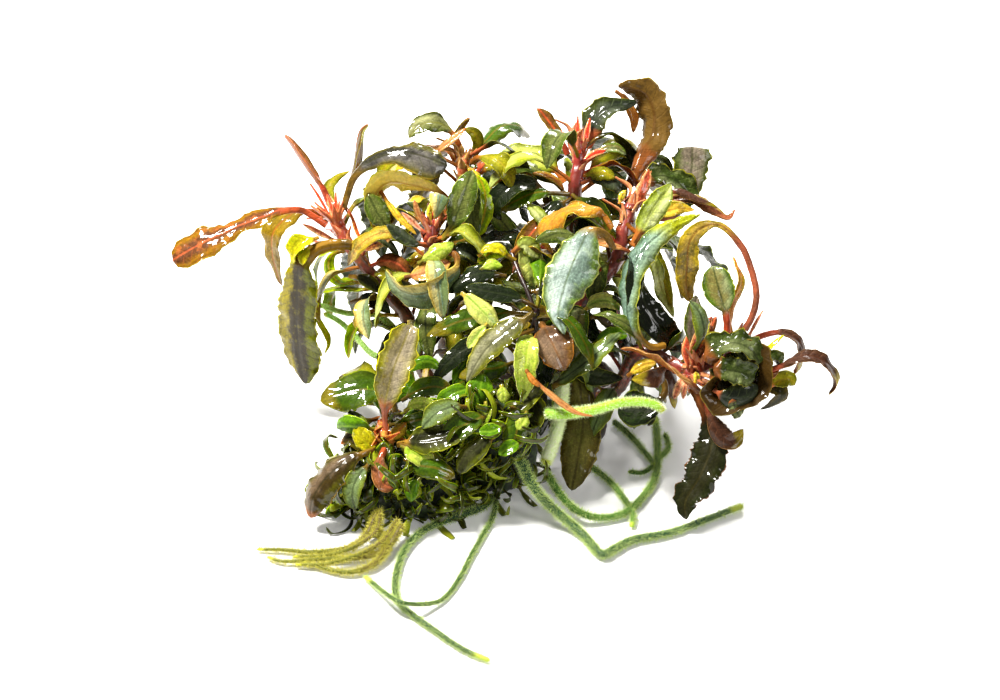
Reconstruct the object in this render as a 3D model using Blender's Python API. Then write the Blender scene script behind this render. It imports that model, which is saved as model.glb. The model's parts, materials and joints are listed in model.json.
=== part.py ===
"""A clump of bucephalandra as it is picked from the water, with no pot.

Old creeping rhizomes carry nine leafy shoots. Large leaves arch out of the shoots, roots hang
free or lie on the surface, and a mat of curly leaflets sits low at the front in two mounds. The
clump rests on the flat underside of its old rhizomes.

Most points are given as they are seen from the viewer's place, in millimetres: to the right, up,
and nearer to the viewer, from a centre inside the clump. seen() turns them into real places.
"""
import bpy
import bmesh
import math
from mathutils import Matrix, Vector

# Driving dimensions, in millimetres and degrees
MM = 0.001
VIEW_ELEVATION = 35.0
VIEW_DISTANCE = 541.7
VIEW_CENTRE = Vector((-0.33, 9.03, 12.8))
REST_HEIGHT = 0.05

# Leaves: sizes in millimetres, and shares of the half width or of the thickness
LEAF_THICKNESS = 0.5
STALK_WIDTH = 0.9
SMALL_STALK_WIDTH = 0.7
TIP_WIDTH = 0.3
NARROW_WIDTH = 2.45
LEAF_FULLNESS = 1.2
LEAF_EDGE_RISE = 0.16
SHOULDER_PLACE = 0.55
SHOULDER_RISE = 0.3
SHOULDER_THICKNESS = 0.8
STATION_SPACING = 2.5
SMALL_STATION_SPACING = 3.0
FEWEST_STATIONS = 7
FEWEST_SMALL_STATIONS = 6

# Tubes: sides of a section, millimetres between sections, and lumps as a share of the radius
STEM_SIDES = 6
STEM_SPACING = 2.6
STEM_LUMPS = 0.08
RHIZOME_SIDES = 8
RHIZOME_SPACING = 3.6
RHIZOME_LUMPS = 0.10
RHIZOME_TAPER = 0.8
ROOT_SIDES = 5
ROOT_SPACING = 3.4
FEWEST_TUBE_STATIONS = 3
LUMP_TURN = 2.3

# The leaflet mat: how fine its mounds are, and their mean size and lumps as shares
MOSS_FINENESS = 3
MOSS_SIZE = 0.95
MOSS_LUMPS = 0.04

# Smoothing: steps between two given points of a path, and the sharpest crease shown smooth
CURVE_STEPS = 12
CREASE_ANGLE = 50.0

ELEVATION = math.radians(VIEW_ELEVATION)
VIEW_RIGHT = Vector((1.0, 0.0, 0.0))
VIEW_UP = Vector((0.0, math.sin(ELEVATION), math.cos(ELEVATION)))
VIEW_NEAR = Vector((0.0, -math.cos(ELEVATION), math.sin(ELEVATION)))
EYE = VIEW_CENTRE + VIEW_NEAR * VIEW_DISTANCE


def seen(right, up, near):
    """The place that shows at right and up, and lies near towards the viewer."""
    target = VIEW_CENTRE + VIEW_RIGHT * right + VIEW_UP * up
    return EYE + (target - EYE) * ((VIEW_DISTANCE - near) / VIEW_DISTANCE)


def on_floor(right, up, height):
    """The place that shows at right and up, and lies at a height above the surface."""
    target = VIEW_CENTRE + VIEW_RIGHT * right + VIEW_UP * up
    return EYE + (target - EYE) * ((EYE.z - height) / (EYE.z - target.z))


def direction(right, up, near):
    """A unit direction from its seen parts."""
    return (VIEW_RIGHT * right + VIEW_UP * up + VIEW_NEAR * near).normalized()


# Finishes: base colour and roughness
FINISHES = {
    "bronze": ((0.30, 0.10, 0.035), 0.35),
    "olive": ((0.13, 0.13, 0.03), 0.30),
    "tan": ((0.42, 0.30, 0.12), 0.40),
    "brown": ((0.18, 0.09, 0.05), 0.40),
    "slate": ((0.10, 0.14, 0.12), 0.25),
    "blue_green": ((0.16, 0.24, 0.20), 0.25),
    "dark_green": ((0.02, 0.045, 0.015), 0.15),
    "lime": ((0.35, 0.45, 0.08), 0.35),
    "mauve": ((0.22, 0.13, 0.11), 0.35),
    "pink": ((0.55, 0.28, 0.20), 0.40),
    "stem": ((0.22, 0.04, 0.03), 0.45),
    "old_stem": ((0.05, 0.035, 0.02), 0.60),
    "root": ((0.40, 0.52, 0.28), 0.70),
    "brown_root": ((0.35, 0.27, 0.11), 0.75),
    "moss": ((0.05, 0.12, 0.02), 0.60),
}

# Stems: shoot, radius at the base and at the bud, and places from the base to the bud
STEMS = {
    "shoot_left": (1.2, 1.0, (
        Vector((-9.0, 9.5, 6.6)), Vector((-11.2, 12.6, 9.0)), seen(-12.0, 4.0, -4.5),
        seen(-14.8, 7.5, -4.0), seen(-16.5, 9.5, -3.0), seen(-18.0, 11.5, -2.0),
        seen(-20.2, 14.5, -1.9), seen(-21.3, 17.2, -1.9))),
    "shoot_centre_left": (1.2, 1.1, (
        Vector((-3.0, 11.0, 6.6)), Vector((-6.0, 13.5, 12.0)), Vector((-8.6, 15.0, 19.0)),
        seen(-9.0, 14.3, 2.3), seen(-8.6, 17.0, 1.6))),
    "shoot_back_left": (1.3, 1.0, (
        Vector((-3.0, 21.5, 6.6)), Vector((-3.6, 23.6, 13.0)), Vector((-4.6, 24.8, 22.0)),
        seen(-4.8, 23.5, -3.5), seen(-4.7, 25.2, -3.8))),
    "shoot_back_right": (1.3, 1.1, (
        Vector((7.0, 20.0, 6.6)), Vector((8.4, 22.0, 13.0)), Vector((9.2, 23.0, 22.0)),
        seen(9.7, 20.5, -0.9), seen(10.3, 24.5, -0.9), seen(9.9, 27.6, -0.8))),
    "shoot_right_centre": (1.5, 1.0, (
        Vector((7.0, 12.5, 6.6)), Vector((8.6, 11.5, 12.0)), seen(11.0, 6.7, 2.5),
        seen(13.0, 9.0, 3.5), seen(15.3, 12.0, 4.5), seen(16.2, 16.0, 5.0),
        seen(17.5, 20.2, 3.0))),
    "shoot_right": (1.2, 1.1, (
        Vector((12.5, 7.5, 6.4)), Vector((15.0, 5.5, 9.4)), seen(18.0, -0.2, 5.8),
        seen(22.0, -1.6, 8.0), seen(25.0, -3.2, 9.7), seen(26.6, -3.6, 9.9))),
    "shoot_low_left": (1.0, 1.0, (
        Vector((-13.6, 5.2, 5.0)), Vector((-14.5, 2.0, 7.6)), Vector((-15.2, -2.4, 9.5)),
        Vector((-15.4, -6.3, 9.9)))),
    "shoot_centre": (1.3, 1.1, (
        Vector((2.6, 7.0, 6.6)), Vector((3.4, 5.6, 12.0)), Vector((4.0, 5.3, 18.0)),
        Vector((4.4, 5.4, 22.0)))),
    "shoot_back": (1.2, 1.0, (
        Vector((4.2, 27.2, 6.0)), Vector((4.6, 28.6, 9.5)), Vector((4.8, 29.2, 13.6)))),
}

# Branches fused to a stem: shoot, radius at the base and at the bud, and places
BRANCHES = (
    ("shoot_right", 1.0, 0.9, (
        seen(24.6, -3.0, 9.5), seen(28.0, -1.6, 9.3), seen(31.0, 0.4, 10.2),
        seen(31.4, 1.3, 10.4))),
    ("shoot_centre", 0.8, 0.7, (
        seen(4.6, 5.0, 8.0), seen(3.4, 8.0, 7.0), seen(2.3, 10.5, 5.6), seen(1.4, 13.2, 4.0))),
)

# Old rhizomes: radius and places, all fused and cut off flat underneath
OLD_RHIZOMES = (
    (2.9, (Vector((-10.5, 5.0, 2.2)), Vector((-4.0, 9.5, 2.6)), Vector((3.0, 11.0, 2.6)),
           Vector((9.0, 13.5, 2.6)), Vector((14.0, 19.0, 2.2)))),
    (2.7, (Vector((12.5, 4.5, 2.2)), Vector((8.0, 10.0, 2.5)), Vector((1.5, 15.0, 2.7)),
           Vector((-3.5, 21.5, 2.5)), Vector((-8.0, 26.0, 2.2)))),
    (2.6, (Vector((0.5, 2.5, 2.2)), Vector((2.5, 12.0, 2.6)), Vector((5.5, 20.0, 2.6)),
           Vector((4.5, 27.5, 2.2)))),
)

# The mat of curly leaflets: middles and half sizes of its low and its tall mound
MOSS_MOUNDS = (
    (Vector((-12.4, -6.4, 2.4)), Vector((9.6, 5.2, 5.8))),
    (Vector((-0.4, -3.9, 6.6)), Vector((5.8, 2.6, 8.0))),
)

# Large leaves, each a piece of its own: name, width, stalk's share of the length, where it is
# widest, the way its upper side faces at mid-length, its turn at the base and at the tip in
# degrees, finish, and places from the stem to the tip
LEAVES = (
    ("leaf_bronze", 4.6, 0.24, 0.76, (0.05, 0.72, 0.68), 0, -15, "bronze", (
        (-22.6, 16.2, -0.6), (-24.2, 17.3, -0.2), (-26.0, 18.2, 0.0), (-28.5, 18.0, 0.5),
        (-31.0, 17.2, 0.8), (-35.0, 15.6, 1.0), (-39.0, 13.7, 1.0), (-42.6, 11.6, 0.5))),
    ("leaf_strap", 2.3, 0.30, 0.62, (-0.60, 0.20, 0.75), 0, 0, "olive", (
        (-22.2, 16.8, -4.0), (-24.0, 17.9, -3.8), (-26.5, 17.8, -3.3), (-29.2, 15.6, -3.2),
        (-29.5, 12.5, -4.5), (-28.4, 8.4, -7.0))),
    ("leaf_edge_on", 2.4, 0.22, 0.60, (0.85, 0.50, 0.25), 0, 0, "bronze", (
        (-22.2, 19.0, -3.6), (-23.2, 21.3, -4.4), (-25.0, 23.8, -5.0), (-27.0, 26.8, -6.0),
        (-27.9, 28.1, -6.5))),
    ("leaf_upright", 2.5, 0.25, 0.65, (0.95, -0.10, 0.30), 0, 20, "brown", (
        (-20.4, 18.6, -4.2), (-19.8, 20.2, -5.0), (-19.0, 23.0, -6.0), (-18.5, 26.0, -7.0),
        (-18.0, 28.3, -7.5), (-17.0, 29.3, -7.6))),
    ("leaf_silver_arch", 4.6, 0.28, 0.68, (-0.05, 0.52, 0.85), 0, 0, "slate", (
        (-20.3, 18.6, -0.4), (-19.8, 20.3, 0.2), (-19.0, 22.4, 0.8), (-17.0, 24.4, 1.5),
        (-14.0, 25.5, 2.5), (-11.5, 25.5, 3.0), (-9.0, 24.8, 3.0), (-6.8, 24.0, 2.5))),
    ("leaf_hanging", 5.6, 0.26, 0.70, (-0.35, 0.12, 0.92), 0, 0, "olive", (
        (-18.6, 13.2, 0.4), (-20.0, 13.7, 1.2), (-22.5, 13.5, 2.0), (-24.6, 12.5, 2.5),
        (-26.0, 10.5, 2.0), (-26.4, 5.0, -1.0), (-26.1, 0.0, -4.5), (-25.3, -4.5, -7.5))),
    ("leaf_tan_arch", 2.4, 0.18, 0.62, (0.05, 0.75, -0.60), 0, -70, "tan", (
        (-7.3, 16.9, 1.0), (-6.7, 19.2, 1.2), (-8.4, 20.9, 1.4), (-11.5, 21.7, 1.2),
        (-14.5, 22.0, 0.2), (-16.2, 20.6, -0.8), (-16.4, 18.0, -2.2), (-15.8, 15.2, -4.0))),
    ("leaf_speckled", 3.2, 0.18, 0.58, (0.10, -0.10, 1.00), 0, 0, "dark_green", (
        (-7.4, 14.4, 3.4), (-6.4, 15.8, 4.2), (-5.3, 18.5, 4.3), (-4.4, 21.2, 3.6),
        (-3.6, 23.4, 2.6))),
    ("leaf_lime", 2.0, 0.22, 0.55, (0.50, 0.10, 0.86), 0, 0, "lime", (
        (-6.9, 13.6, 0.6), (-4.6, 14.2, 0.8), (-2.7, 16.0, 0.8), (-1.9, 19.0, 0.8),
        (-2.3, 21.5, 0.4), (-3.6, 23.2, 0.0))),
    ("leaf_smile", 2.9, 0.20, 0.60, (0.00, -0.70, 0.70), 0, 0, "slate", (
        (-7.2, 13.0, 3.6), (-5.7, 12.2, 4.8), (-5.8, 10.3, 6.2), (-7.8, 8.4, 6.7),
        (-10.5, 7.3, 6.6), (-13.0, 8.0, 5.8), (-14.8, 10.5, 4.8))),
    ("leaf_curled_top", 2.6, 0.20, 0.60, (-0.20, 0.60, 0.75), 0, 0, "dark_green", (
        (-5.3, 26.6, -3.6), (-5.9, 27.8, -3.2), (-7.0, 28.9, -2.8), (-8.4, 29.5, -2.3),
        (-10.2, 29.3, -1.8), (-11.9, 27.6, -1.6))),
    ("leaf_green_arch", 2.4, 0.18, 0.60, (0.30, 0.60, 0.70), 0, 0, "olive", (
        (-3.6, 24.4, -2.4), (-2.6, 25.0, -1.2), (-0.8, 24.8, 0.3), (0.9, 23.3, 0.9),
        (1.9, 20.9, 0.5))),
    ("leaf_pale_broad", 3.4, 0.15, 0.60, (0.05, 0.40, 0.90), 0, 0, "blue_green", (
        (8.4, 21.8, -2.4), (7.4, 23.2, -2.6), (5.2, 24.6, -3.0), (2.4, 25.3, -3.4),
        (-0.4, 25.1, -4.2))),
    ("leaf_red_brown", 2.2, 0.20, 0.55, (0.50, 0.40, 0.75), 0, 0, "bronze", (
        (8.8, 25.4, -1.9), (8.2, 26.7, -2.1), (6.9, 28.8, -2.6), (4.8, 31.5, -3.5))),
    ("leaf_slate", 3.2, 0.18, 0.55, (-0.50, 0.30, 0.80), 0, 40, "slate", (
        (11.4, 26.2, -2.4), (11.7, 27.8, -2.6), (12.3, 29.7, -2.6), (14.0, 31.3, -2.7),
        (16.0, 31.9, -3.1), (17.8, 32.3, -4.0))),
    ("leaf_hooked", 3.8, 0.30, 0.62, (0.45, 0.20, -0.87), 0, 0, "tan", (
        (16.9, 21.6, -0.6), (17.6, 22.8, -1.6), (18.8, 25.2, -3.0), (20.0, 28.0, -4.0),
        (20.1, 31.0, -4.5), (19.0, 33.3, -4.5), (17.0, 34.1, -4.0), (15.3, 34.4, -3.0))),
    ("leaf_violet", 4.2, 0.36, 0.74, (0.00, -0.10, 1.00), 0, 0, "slate", (
        (18.6, 18.2, -0.6), (21.0, 17.2, -1.8), (23.3, 18.2, -2.6), (24.4, 21.0, -3.2),
        (24.9, 23.8, -4.0), (25.0, 26.5, -5.2))),
    ("leaf_pale_ellipse", 2.9, 0.12, 0.52, (0.20, 0.10, 1.00), 0, 0, "blue_green", (
        (17.4, 14.0, 6.4), (18.3, 15.6, 6.8), (20.0, 18.3, 6.2), (21.3, 20.2, 5.4),
        (22.3, 21.6, 4.5))),
    ("leaf_golden_arch", 2.7, 0.14, 0.50, (-0.10, 0.75, -0.60), 0, -40, "tan", (
        (14.6, 15.8, 6.4), (13.0, 17.8, 6.4), (10.0, 18.4, 6.2), (7.5, 17.5, 5.9),
        (5.8, 15.8, 5.6), (5.7, 14.0, 5.2), (6.8, 12.4, 4.7))),
    ("leaf_blue_green", 5.4, 0.22, 0.60, (-0.22, 0.08, 0.97), 0, 0, "blue_green", (
        (14.8, 13.2, 7.2), (13.6, 15.0, 8.4), (11.7, 15.2, 9.8), (10.3, 13.0, 10.8),
        (9.0, 10.0, 11.0), (8.2, 7.0, 10.6), (8.1, 4.8, 10.0), (8.5, 3.2, 9.5))),
    ("leaf_long_slate", 3.2, 0.12, 0.50, (-0.55, 0.25, 0.80), -30, 40, "slate", (
        (21.4, 0.6, 9.2), (19.8, 0.4, 10.0), (18.4, 1.4, 10.6), (16.9, 3.8, 11.0),
        (16.6, 7.0, 11.0), (17.2, 10.5, 10.6), (19.4, 13.8, 9.8), (22.5, 16.3, 8.4),
        (26.2, 17.7, 6.2))),
    ("leaf_black_glossy", 3.6, 0.20, 0.62, (0.20, 0.30, 0.93), 0, 0, "dark_green", (
        (17.8, 11.0, 4.8), (18.3, 8.6, 6.4), (18.8, 6.0, 7.4), (20.5, 3.2, 7.4),
        (22.4, 1.3, 6.6), (24.0, 0.0, 5.6))),
    ("leaf_tan_bend", 2.6, 0.52, 0.80, (-0.30, 0.45, 0.84), 0, -20, "tan", (
        (31.8, 2.6, 10.8), (32.8, 4.4, 10.8), (33.3, 6.4, 10.4), (33.2, 8.4, 10.0),
        (32.5, 11.0, 9.6), (31.3, 13.6, 9.6), (28.7, 16.2, 9.8), (26.2, 15.9, 10.4),
        (24.6, 14.0, 10.2), (24.3, 11.0, 9.2), (24.2, 8.5, 8.0), (24.8, 6.2, 6.8))),
    ("leaf_green_right", 3.7, 0.40, 0.70, (0.10, 0.00, 1.00), 0, 0, "blue_green", (
        (29.3, 0.6, 11.2), (29.5, 2.4, 11.8), (29.4, 4.4, 12.0), (28.8, 6.6, 12.0),
        (28.2, 8.8, 11.6), (27.6, 11.0, 10.6))),
    ("leaf_tan_crossing", 1.9, 0.10, 0.50, (0.40, 0.90, 0.10), 0, 0, "pink", (
        (25.8, -5.4, 11.6), (24.6, -4.2, 12.8), (22.8, -2.7, 13.5), (19.5, -0.7, 13.6),
        (17.3, 0.2, 13.2), (15.7, 0.3, 12.6))),
    ("leaf_rolled", 4.4, 0.10, 0.55, (0.80, 0.30, -0.50), 0, 0, "olive", (
        (28.0, -2.6, 11.8), (28.6, -0.6, 12.6), (30.6, 0.6, 13.0), (33.0, -0.6, 13.0),
        (33.8, -3.4, 13.0), (32.6, -6.0, 13.0), (30.0, -6.8, 13.0), (27.8, -5.6, 13.2),
        (27.9, -3.9, 13.6), (29.6, -3.2, 14.0), (31.0, -3.4, 14.2))),
    ("leaf_mauve_hooked", 2.3, 0.30, 0.66, (-0.10, 0.25, 0.96), 0, 0, "mauve", (
        (26.5, -5.4, 10.6), (26.9, -7.4, 11.6), (27.8, -9.5, 12.8), (29.0, -11.3, 12.8),
        (30.3, -11.7, 12.2), (31.7, -10.3, 11.6))),
    ("leaf_dark_hanging", 4.2, 0.18, 0.62, (-0.20, 0.15, 0.97), 0, 0, "dark_green", (
        (25.0, -5.0, 9.2), (26.4, -7.6, 9.8), (27.5, -10.2, 10.4), (27.4, -13.0, 11.4),
        (26.0, -16.5, 12.2), (24.2, -19.5, 12.3), (24.2, -22.1, 12.2))),
    ("leaf_mauve_arc_upper", 2.3, 0.28, 0.62, (0.30, 0.70, 0.60), 0, 0, "mauve", (
        (32.7, 1.2, 9.6), (34.2, 1.9, 9.4), (36.4, 2.3, 9.0), (38.4, 1.4, 8.6),
        (39.3, -0.4, 8.2), (38.9, -1.9, 7.6), (38.3, -3.1, 7.2))),
    ("leaf_mauve_arc_lower", 2.2, 0.34, 0.66, (0.25, 0.75, 0.60), 0, 0, "mauve", (
        (31.4, -1.6, 7.2), (33.7, -2.8, 8.4), (36.5, -2.1, 10.6), (39.6, -0.8, 11.2),
        (42.1, -1.5, 10.6), (43.5, -3.3, 9.6), (43.6, -4.8, 9.0), (42.9, -5.9, 8.5))),
    ("leaf_pale_olive", 4.4, 0.20, 0.56, (-0.15, 0.05, 1.00), 0, 0, "blue_green", (
        (-14.8, -10.4, 12.0), (-15.0, -8.8, 12.5), (-14.7, -6.0, 13.0), (-14.0, -3.0, 13.0),
        (-12.8, 0.2, 12.5), (-11.5, 3.3, 11.5))),
    ("leaf_pink_hanging", 2.1, 0.15, 0.60, (0.20, 0.10, 1.00), 0, 0, "pink", (
        (-15.0, -12.9, 12.0), (-15.5, -14.2, 13.0), (-15.6, -16.0, 13.4), (-15.0, -17.6, 13.4),
        (-13.8, -18.0, 13.2))),
    ("leaf_glossy", 4.7, 0.20, 0.60, (0.00, 0.40, 0.92), 0, 0, "dark_green", (
        (-13.6, -8.0, 8.4), (-14.2, -6.2, 8.8), (-16.2, -5.2, 8.9), (-19.2, -5.4, 8.6),
        (-23.4, -6.6, 8.0))),
    ("leaf_low_olive", 4.1, 0.14, 0.62, (-0.35, 0.28, 0.89), 0, 0, "olive", (
        (-16.3, -13.0, 11.4), (-17.8, -13.5, 12.6), (-19.7, -14.3, 13.3), (-22.4, -16.5, 13.4),
        (-24.2, -19.2, 12.8), (-24.7, -21.9, 11.8))),
    ("leaf_grey_olive", 3.7, 0.12, 0.55, (0.00, 0.50, 0.86), 0, 0, "slate", (
        (-13.2, -12.3, 12.0), (-11.8, -12.1, 13.0), (-8.0, -11.4, 13.6), (-5.8, -10.8, 13.6),
        (-3.8, -10.4, 13.2))),
    ("leaf_grey_glossy", 3.2, 0.10, 0.50, (-0.20, 0.30, 0.93), 0, 0, "slate", (
        (4.0, 4.6, 10.0), (3.0, 3.8, 11.2), (1.0, 2.5, 12.0), (-2.0, -0.2, 12.2),
        (-4.4, -4.2, 11.5))),
    ("leaf_mauve_broad", 4.4, 0.12, 0.55, (0.00, 0.30, 0.95), 0, 0, "mauve", (
        (5.4, 3.4, 8.6), (6.2, 2.0, 10.2), (7.4, -0.4, 11.4), (8.4, -2.7, 11.6))),
    ("leaf_striped", 2.7, 0.12, 0.55, (-0.30, 0.50, 0.80), 0, 0, "dark_green", (
        (5.9, -5.2, 7.6), (7.6, -4.3, 8.6), (9.6, -2.8, 9.4), (12.0, -1.0, 9.8),
        (14.2, 0.9, 9.6), (15.8, 2.4, 8.6))),
    ("leaf_grey_strap", 4.5, 0.24, 0.66, (0.05, 0.10, 0.99), 0, 0, "brown", (
        (6.9, 0.6, 3.4), (8.8, -0.8, 3.6), (10.2, -4.0, 4.4), (10.8, -9.0, 5.6),
        (10.2, -13.5, 6.5), (9.3, -18.3, 6.8))),
    ("leaf_black_ellipse", 4.4, 0.40, 0.74, (0.00, 0.30, 0.95), 0, 0, "dark_green", (
        (20.2, -3.0, 8.4), (21.3, -4.2, 8.8), (21.4, -5.6, 9.2), (20.2, -7.0, 9.6),
        (17.8, -7.6, 9.6), (15.2, -7.4, 9.0))),
)

# Small leaves that are fused to their shoot, in the same words without a name
SMALL_LEAVES = (
    ("shoot_left", 1.6, 0.2, 0.6, (0.10, 0.30, 0.95), (
        (-21.0, 16.4, -2.2), (-22.3, 20.2, -7.6), (-21.5, 22.2, -9.0), (-19.5, 23.3, -9.6))),
    ("shoot_left", 1.8, 0.2, 0.6, (-0.50, 0.30, 0.80), (
        (-19.4, 13.2, -2.0), (-21.7, 12.4, -2.2), (-22.2, 10.6, -2.6), (-20.8, 8.8, -3.0),
        (-19.0, 9.0, -3.6))),
    ("shoot_left", 1.7, 0.2, 0.6, (0.00, 0.90, 0.40), (
        (-15.6, 8.2, -3.6), (-18.7, 7.8, -4.4), (-21.5, 8.0, -5.0), (-24.6, 7.0, -5.8))),
    ("shoot_centre_left", 2.0, 0.2, 0.6, (0.10, 0.50, 0.85), (
        (-9.1, 13.6, 2.4), (-11.4, 14.0, 3.6), (-13.4, 15.2, 4.0), (-14.8, 16.4, 3.8))),
    ("shoot_back_left", 1.5, 0.2, 0.6, (0.90, 0.10, 0.30), (
        (-4.8, 24.4, -3.8), (-5.8, 27.2, -5.6), (-5.0, 29.2, -6.0), (-3.9, 30.2, -6.0))),
    ("shoot_back_left", 1.9, 0.2, 0.6, (0.50, 0.50, 0.70), (
        (-4.8, 24.4, -3.6), (-3.0, 26.4, -4.6), (-3.2, 28.0, -4.2), (-4.6, 28.8, -3.4))),
    ("shoot_back_right", 2.6, 0.3, 0.6, (-0.10, 0.50, 0.85), (
        (9.7, 20.2, -0.9), (6.8, 20.4, 0.0), (4.6, 20.4, 0.6), (2.0, 19.3, 0.8),
        (-0.6, 18.0, 0.4))),
    ("shoot_back_right", 1.5, 0.4, 0.7, (0.10, 0.60, 0.80), (
        (10.4, 23.8, -0.9), (13.0, 25.8, 0.0), (15.0, 26.2, 0.2), (16.4, 25.4, 0.2))),
    ("shoot_back_right", 2.0, 0.2, 0.6, (0.20, 0.30, 0.90), (
        (10.2, 22.6, -0.8), (13.2, 23.0, 1.4), (15.0, 22.3, 1.8))),
    ("shoot_back_right", 2.2, 0.3, 0.6, (0.10, 0.50, 0.85), (
        (10.0, 21.8, -1.0), (14.0, 23.4, -5.0), (19.0, 24.8, -6.6), (21.4, 24.4, -6.4),
        (22.6, 22.2, -6.0))),
    ("shoot_right_centre", 1.8, 0.3, 0.6, (0.10, 0.60, 0.80), (
        (17.0, 18.4, 3.8), (20.2, 19.4, 2.0), (25.0, 19.6, 1.4), (27.6, 18.2, 1.4),
        (29.6, 17.2, 1.4), (30.6, 18.4, 1.2))),
    ("shoot_right_centre", 2.2, 0.2, 0.6, (0.50, 0.20, 0.85), (
        (16.2, 14.4, 4.8), (19.8, 12.0, 6.6), (20.8, 8.4, 5.4), (22.6, 4.2, 3.8))),
    ("shoot_right_centre", 2.2, 0.2, 0.6, (0.20, 0.10, 0.97), (
        (12.4, 8.2, 3.2), (13.6, 6.6, 5.0), (14.2, 4.2, 5.2), (14.4, 2.8, 4.8))),
    ("shoot_right", 2.1, 0.4, 0.7, (0.10, 0.00, 1.00), (
        (25.4, -3.2, 9.8), (24.8, 0.0, 10.4), (24.9, 3.2, 10.2), (25.5, 7.2, 9.6))),
    ("shoot_right", 1.5, 0.2, 0.6, (0.80, 0.20, 0.50), (
        (30.4, 0.2, 10.0), (29.9, 3.5, 8.0), (30.3, 6.0, 7.0), (31.3, 9.0, 6.0),
        (30.4, 12.2, 5.0))),
    ("shoot_right", 2.3, 0.3, 0.6, (0.10, 0.40, 0.90), (
        (29.0, -1.2, 9.4), (32.4, -4.6, 6.6), (35.2, -4.6, 6.2), (36.6, -5.8, 6.0),
        (35.2, -7.2, 5.6), (33.8, -7.8, 5.2))),
    ("shoot_right", 1.6, 0.2, 0.6, (0.00, 0.30, 0.95), (
        (26.2, -3.4, 10.0), (25.8, -0.6, 10.8), (27.2, 2.6, 10.6), (28.2, 4.4, 9.8))),
    ("shoot_low_left", 1.7, 0.2, 0.6, (0.10, 0.20, 0.95), (
        (-14.8, -12.0, 10.3), (-17.2, -10.8, 10.2), (-18.4, -9.2, 9.4), (-19.8, -7.8, 8.4))),
    ("shoot_low_left", 2.2, 0.2, 0.6, (0.10, 0.20, 0.95), (
        (-14.8, -12.0, 10.3), (-17.6, -12.4, 10.2), (-19.4, -11.4, 9.4), (-20.8, -12.2, 8.8))),
    ("shoot_centre", 2.9, 0.2, 0.6, (-0.10, 0.30, 0.95), (
        (4.7, 4.6, 8.0), (1.8, 4.8, 8.0), (-2.0, 4.4, 7.8), (-5.5, 3.6, 7.6),
        (-9.6, 1.8, 7.0))),
    ("shoot_centre", 2.6, 0.2, 0.6, (-0.20, 0.30, 0.95), (
        (4.4, 2.6, 7.4), (0.4, 1.2, 8.4), (-3.6, 0.6, 9.2), (-6.6, -1.6, 9.4),
        (-8.8, -4.4, 8.8))),
    ("shoot_centre", 3.9, 0.2, 0.6, (0.10, 0.20, 0.97), (
        (4.9, 4.0, 7.6), (8.0, 4.4, 5.8), (10.4, 3.4, 6.0), (12.9, 1.2, 5.4))),
    ("shoot_centre", 2.6, 0.2, 0.6, (-0.30, 0.40, 0.87), (
        (4.2, -2.6, 3.6), (5.4, -4.0, 8.0), (4.0, -6.2, 11.6), (2.5, -7.6, 12.6),
        (0.4, -9.7, 12.6))),
    ("shoot_centre", 2.6, 0.3, 0.65, (0.00, 0.20, 0.97), (
        (4.6, -0.4, 5.0), (9.0, -1.9, 5.4), (12.4, -3.5, 6.6), (16.0, -3.6, 6.9))),
    ("shoot_centre", 2.6, 0.2, 0.6, (-0.20, 0.50, 0.85), (
        (4.8, 5.4, 8.0), (2.2, 6.8, 9.0), (-0.8, 7.4, 9.4), (-4.6, 8.2, 9.2))),
    ("shoot_centre", 2.4, 0.2, 0.6, (0.00, 0.20, 0.97), (
        (1.6, 12.6, 4.4), (3.2, 13.8, 4.6), (5.2, 12.0, 4.0))),
    ("shoot_centre", 2.2, 0.2, 0.6, (-0.10, 0.30, 0.95), (
        (2.0, 11.6, 5.0), (-0.4, 12.8, 5.4), (-3.0, 11.4, 4.8))),
    ("shoot_back_left", 2.2, 0.2, 0.6, (0.10, 0.60, 0.80), (
        (-4.4, 17.0, -7.6), (-2.4, 14.6, -2.4), (1.5, 15.0, -0.6), (4.6, 15.1, -1.2))),
)

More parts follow.
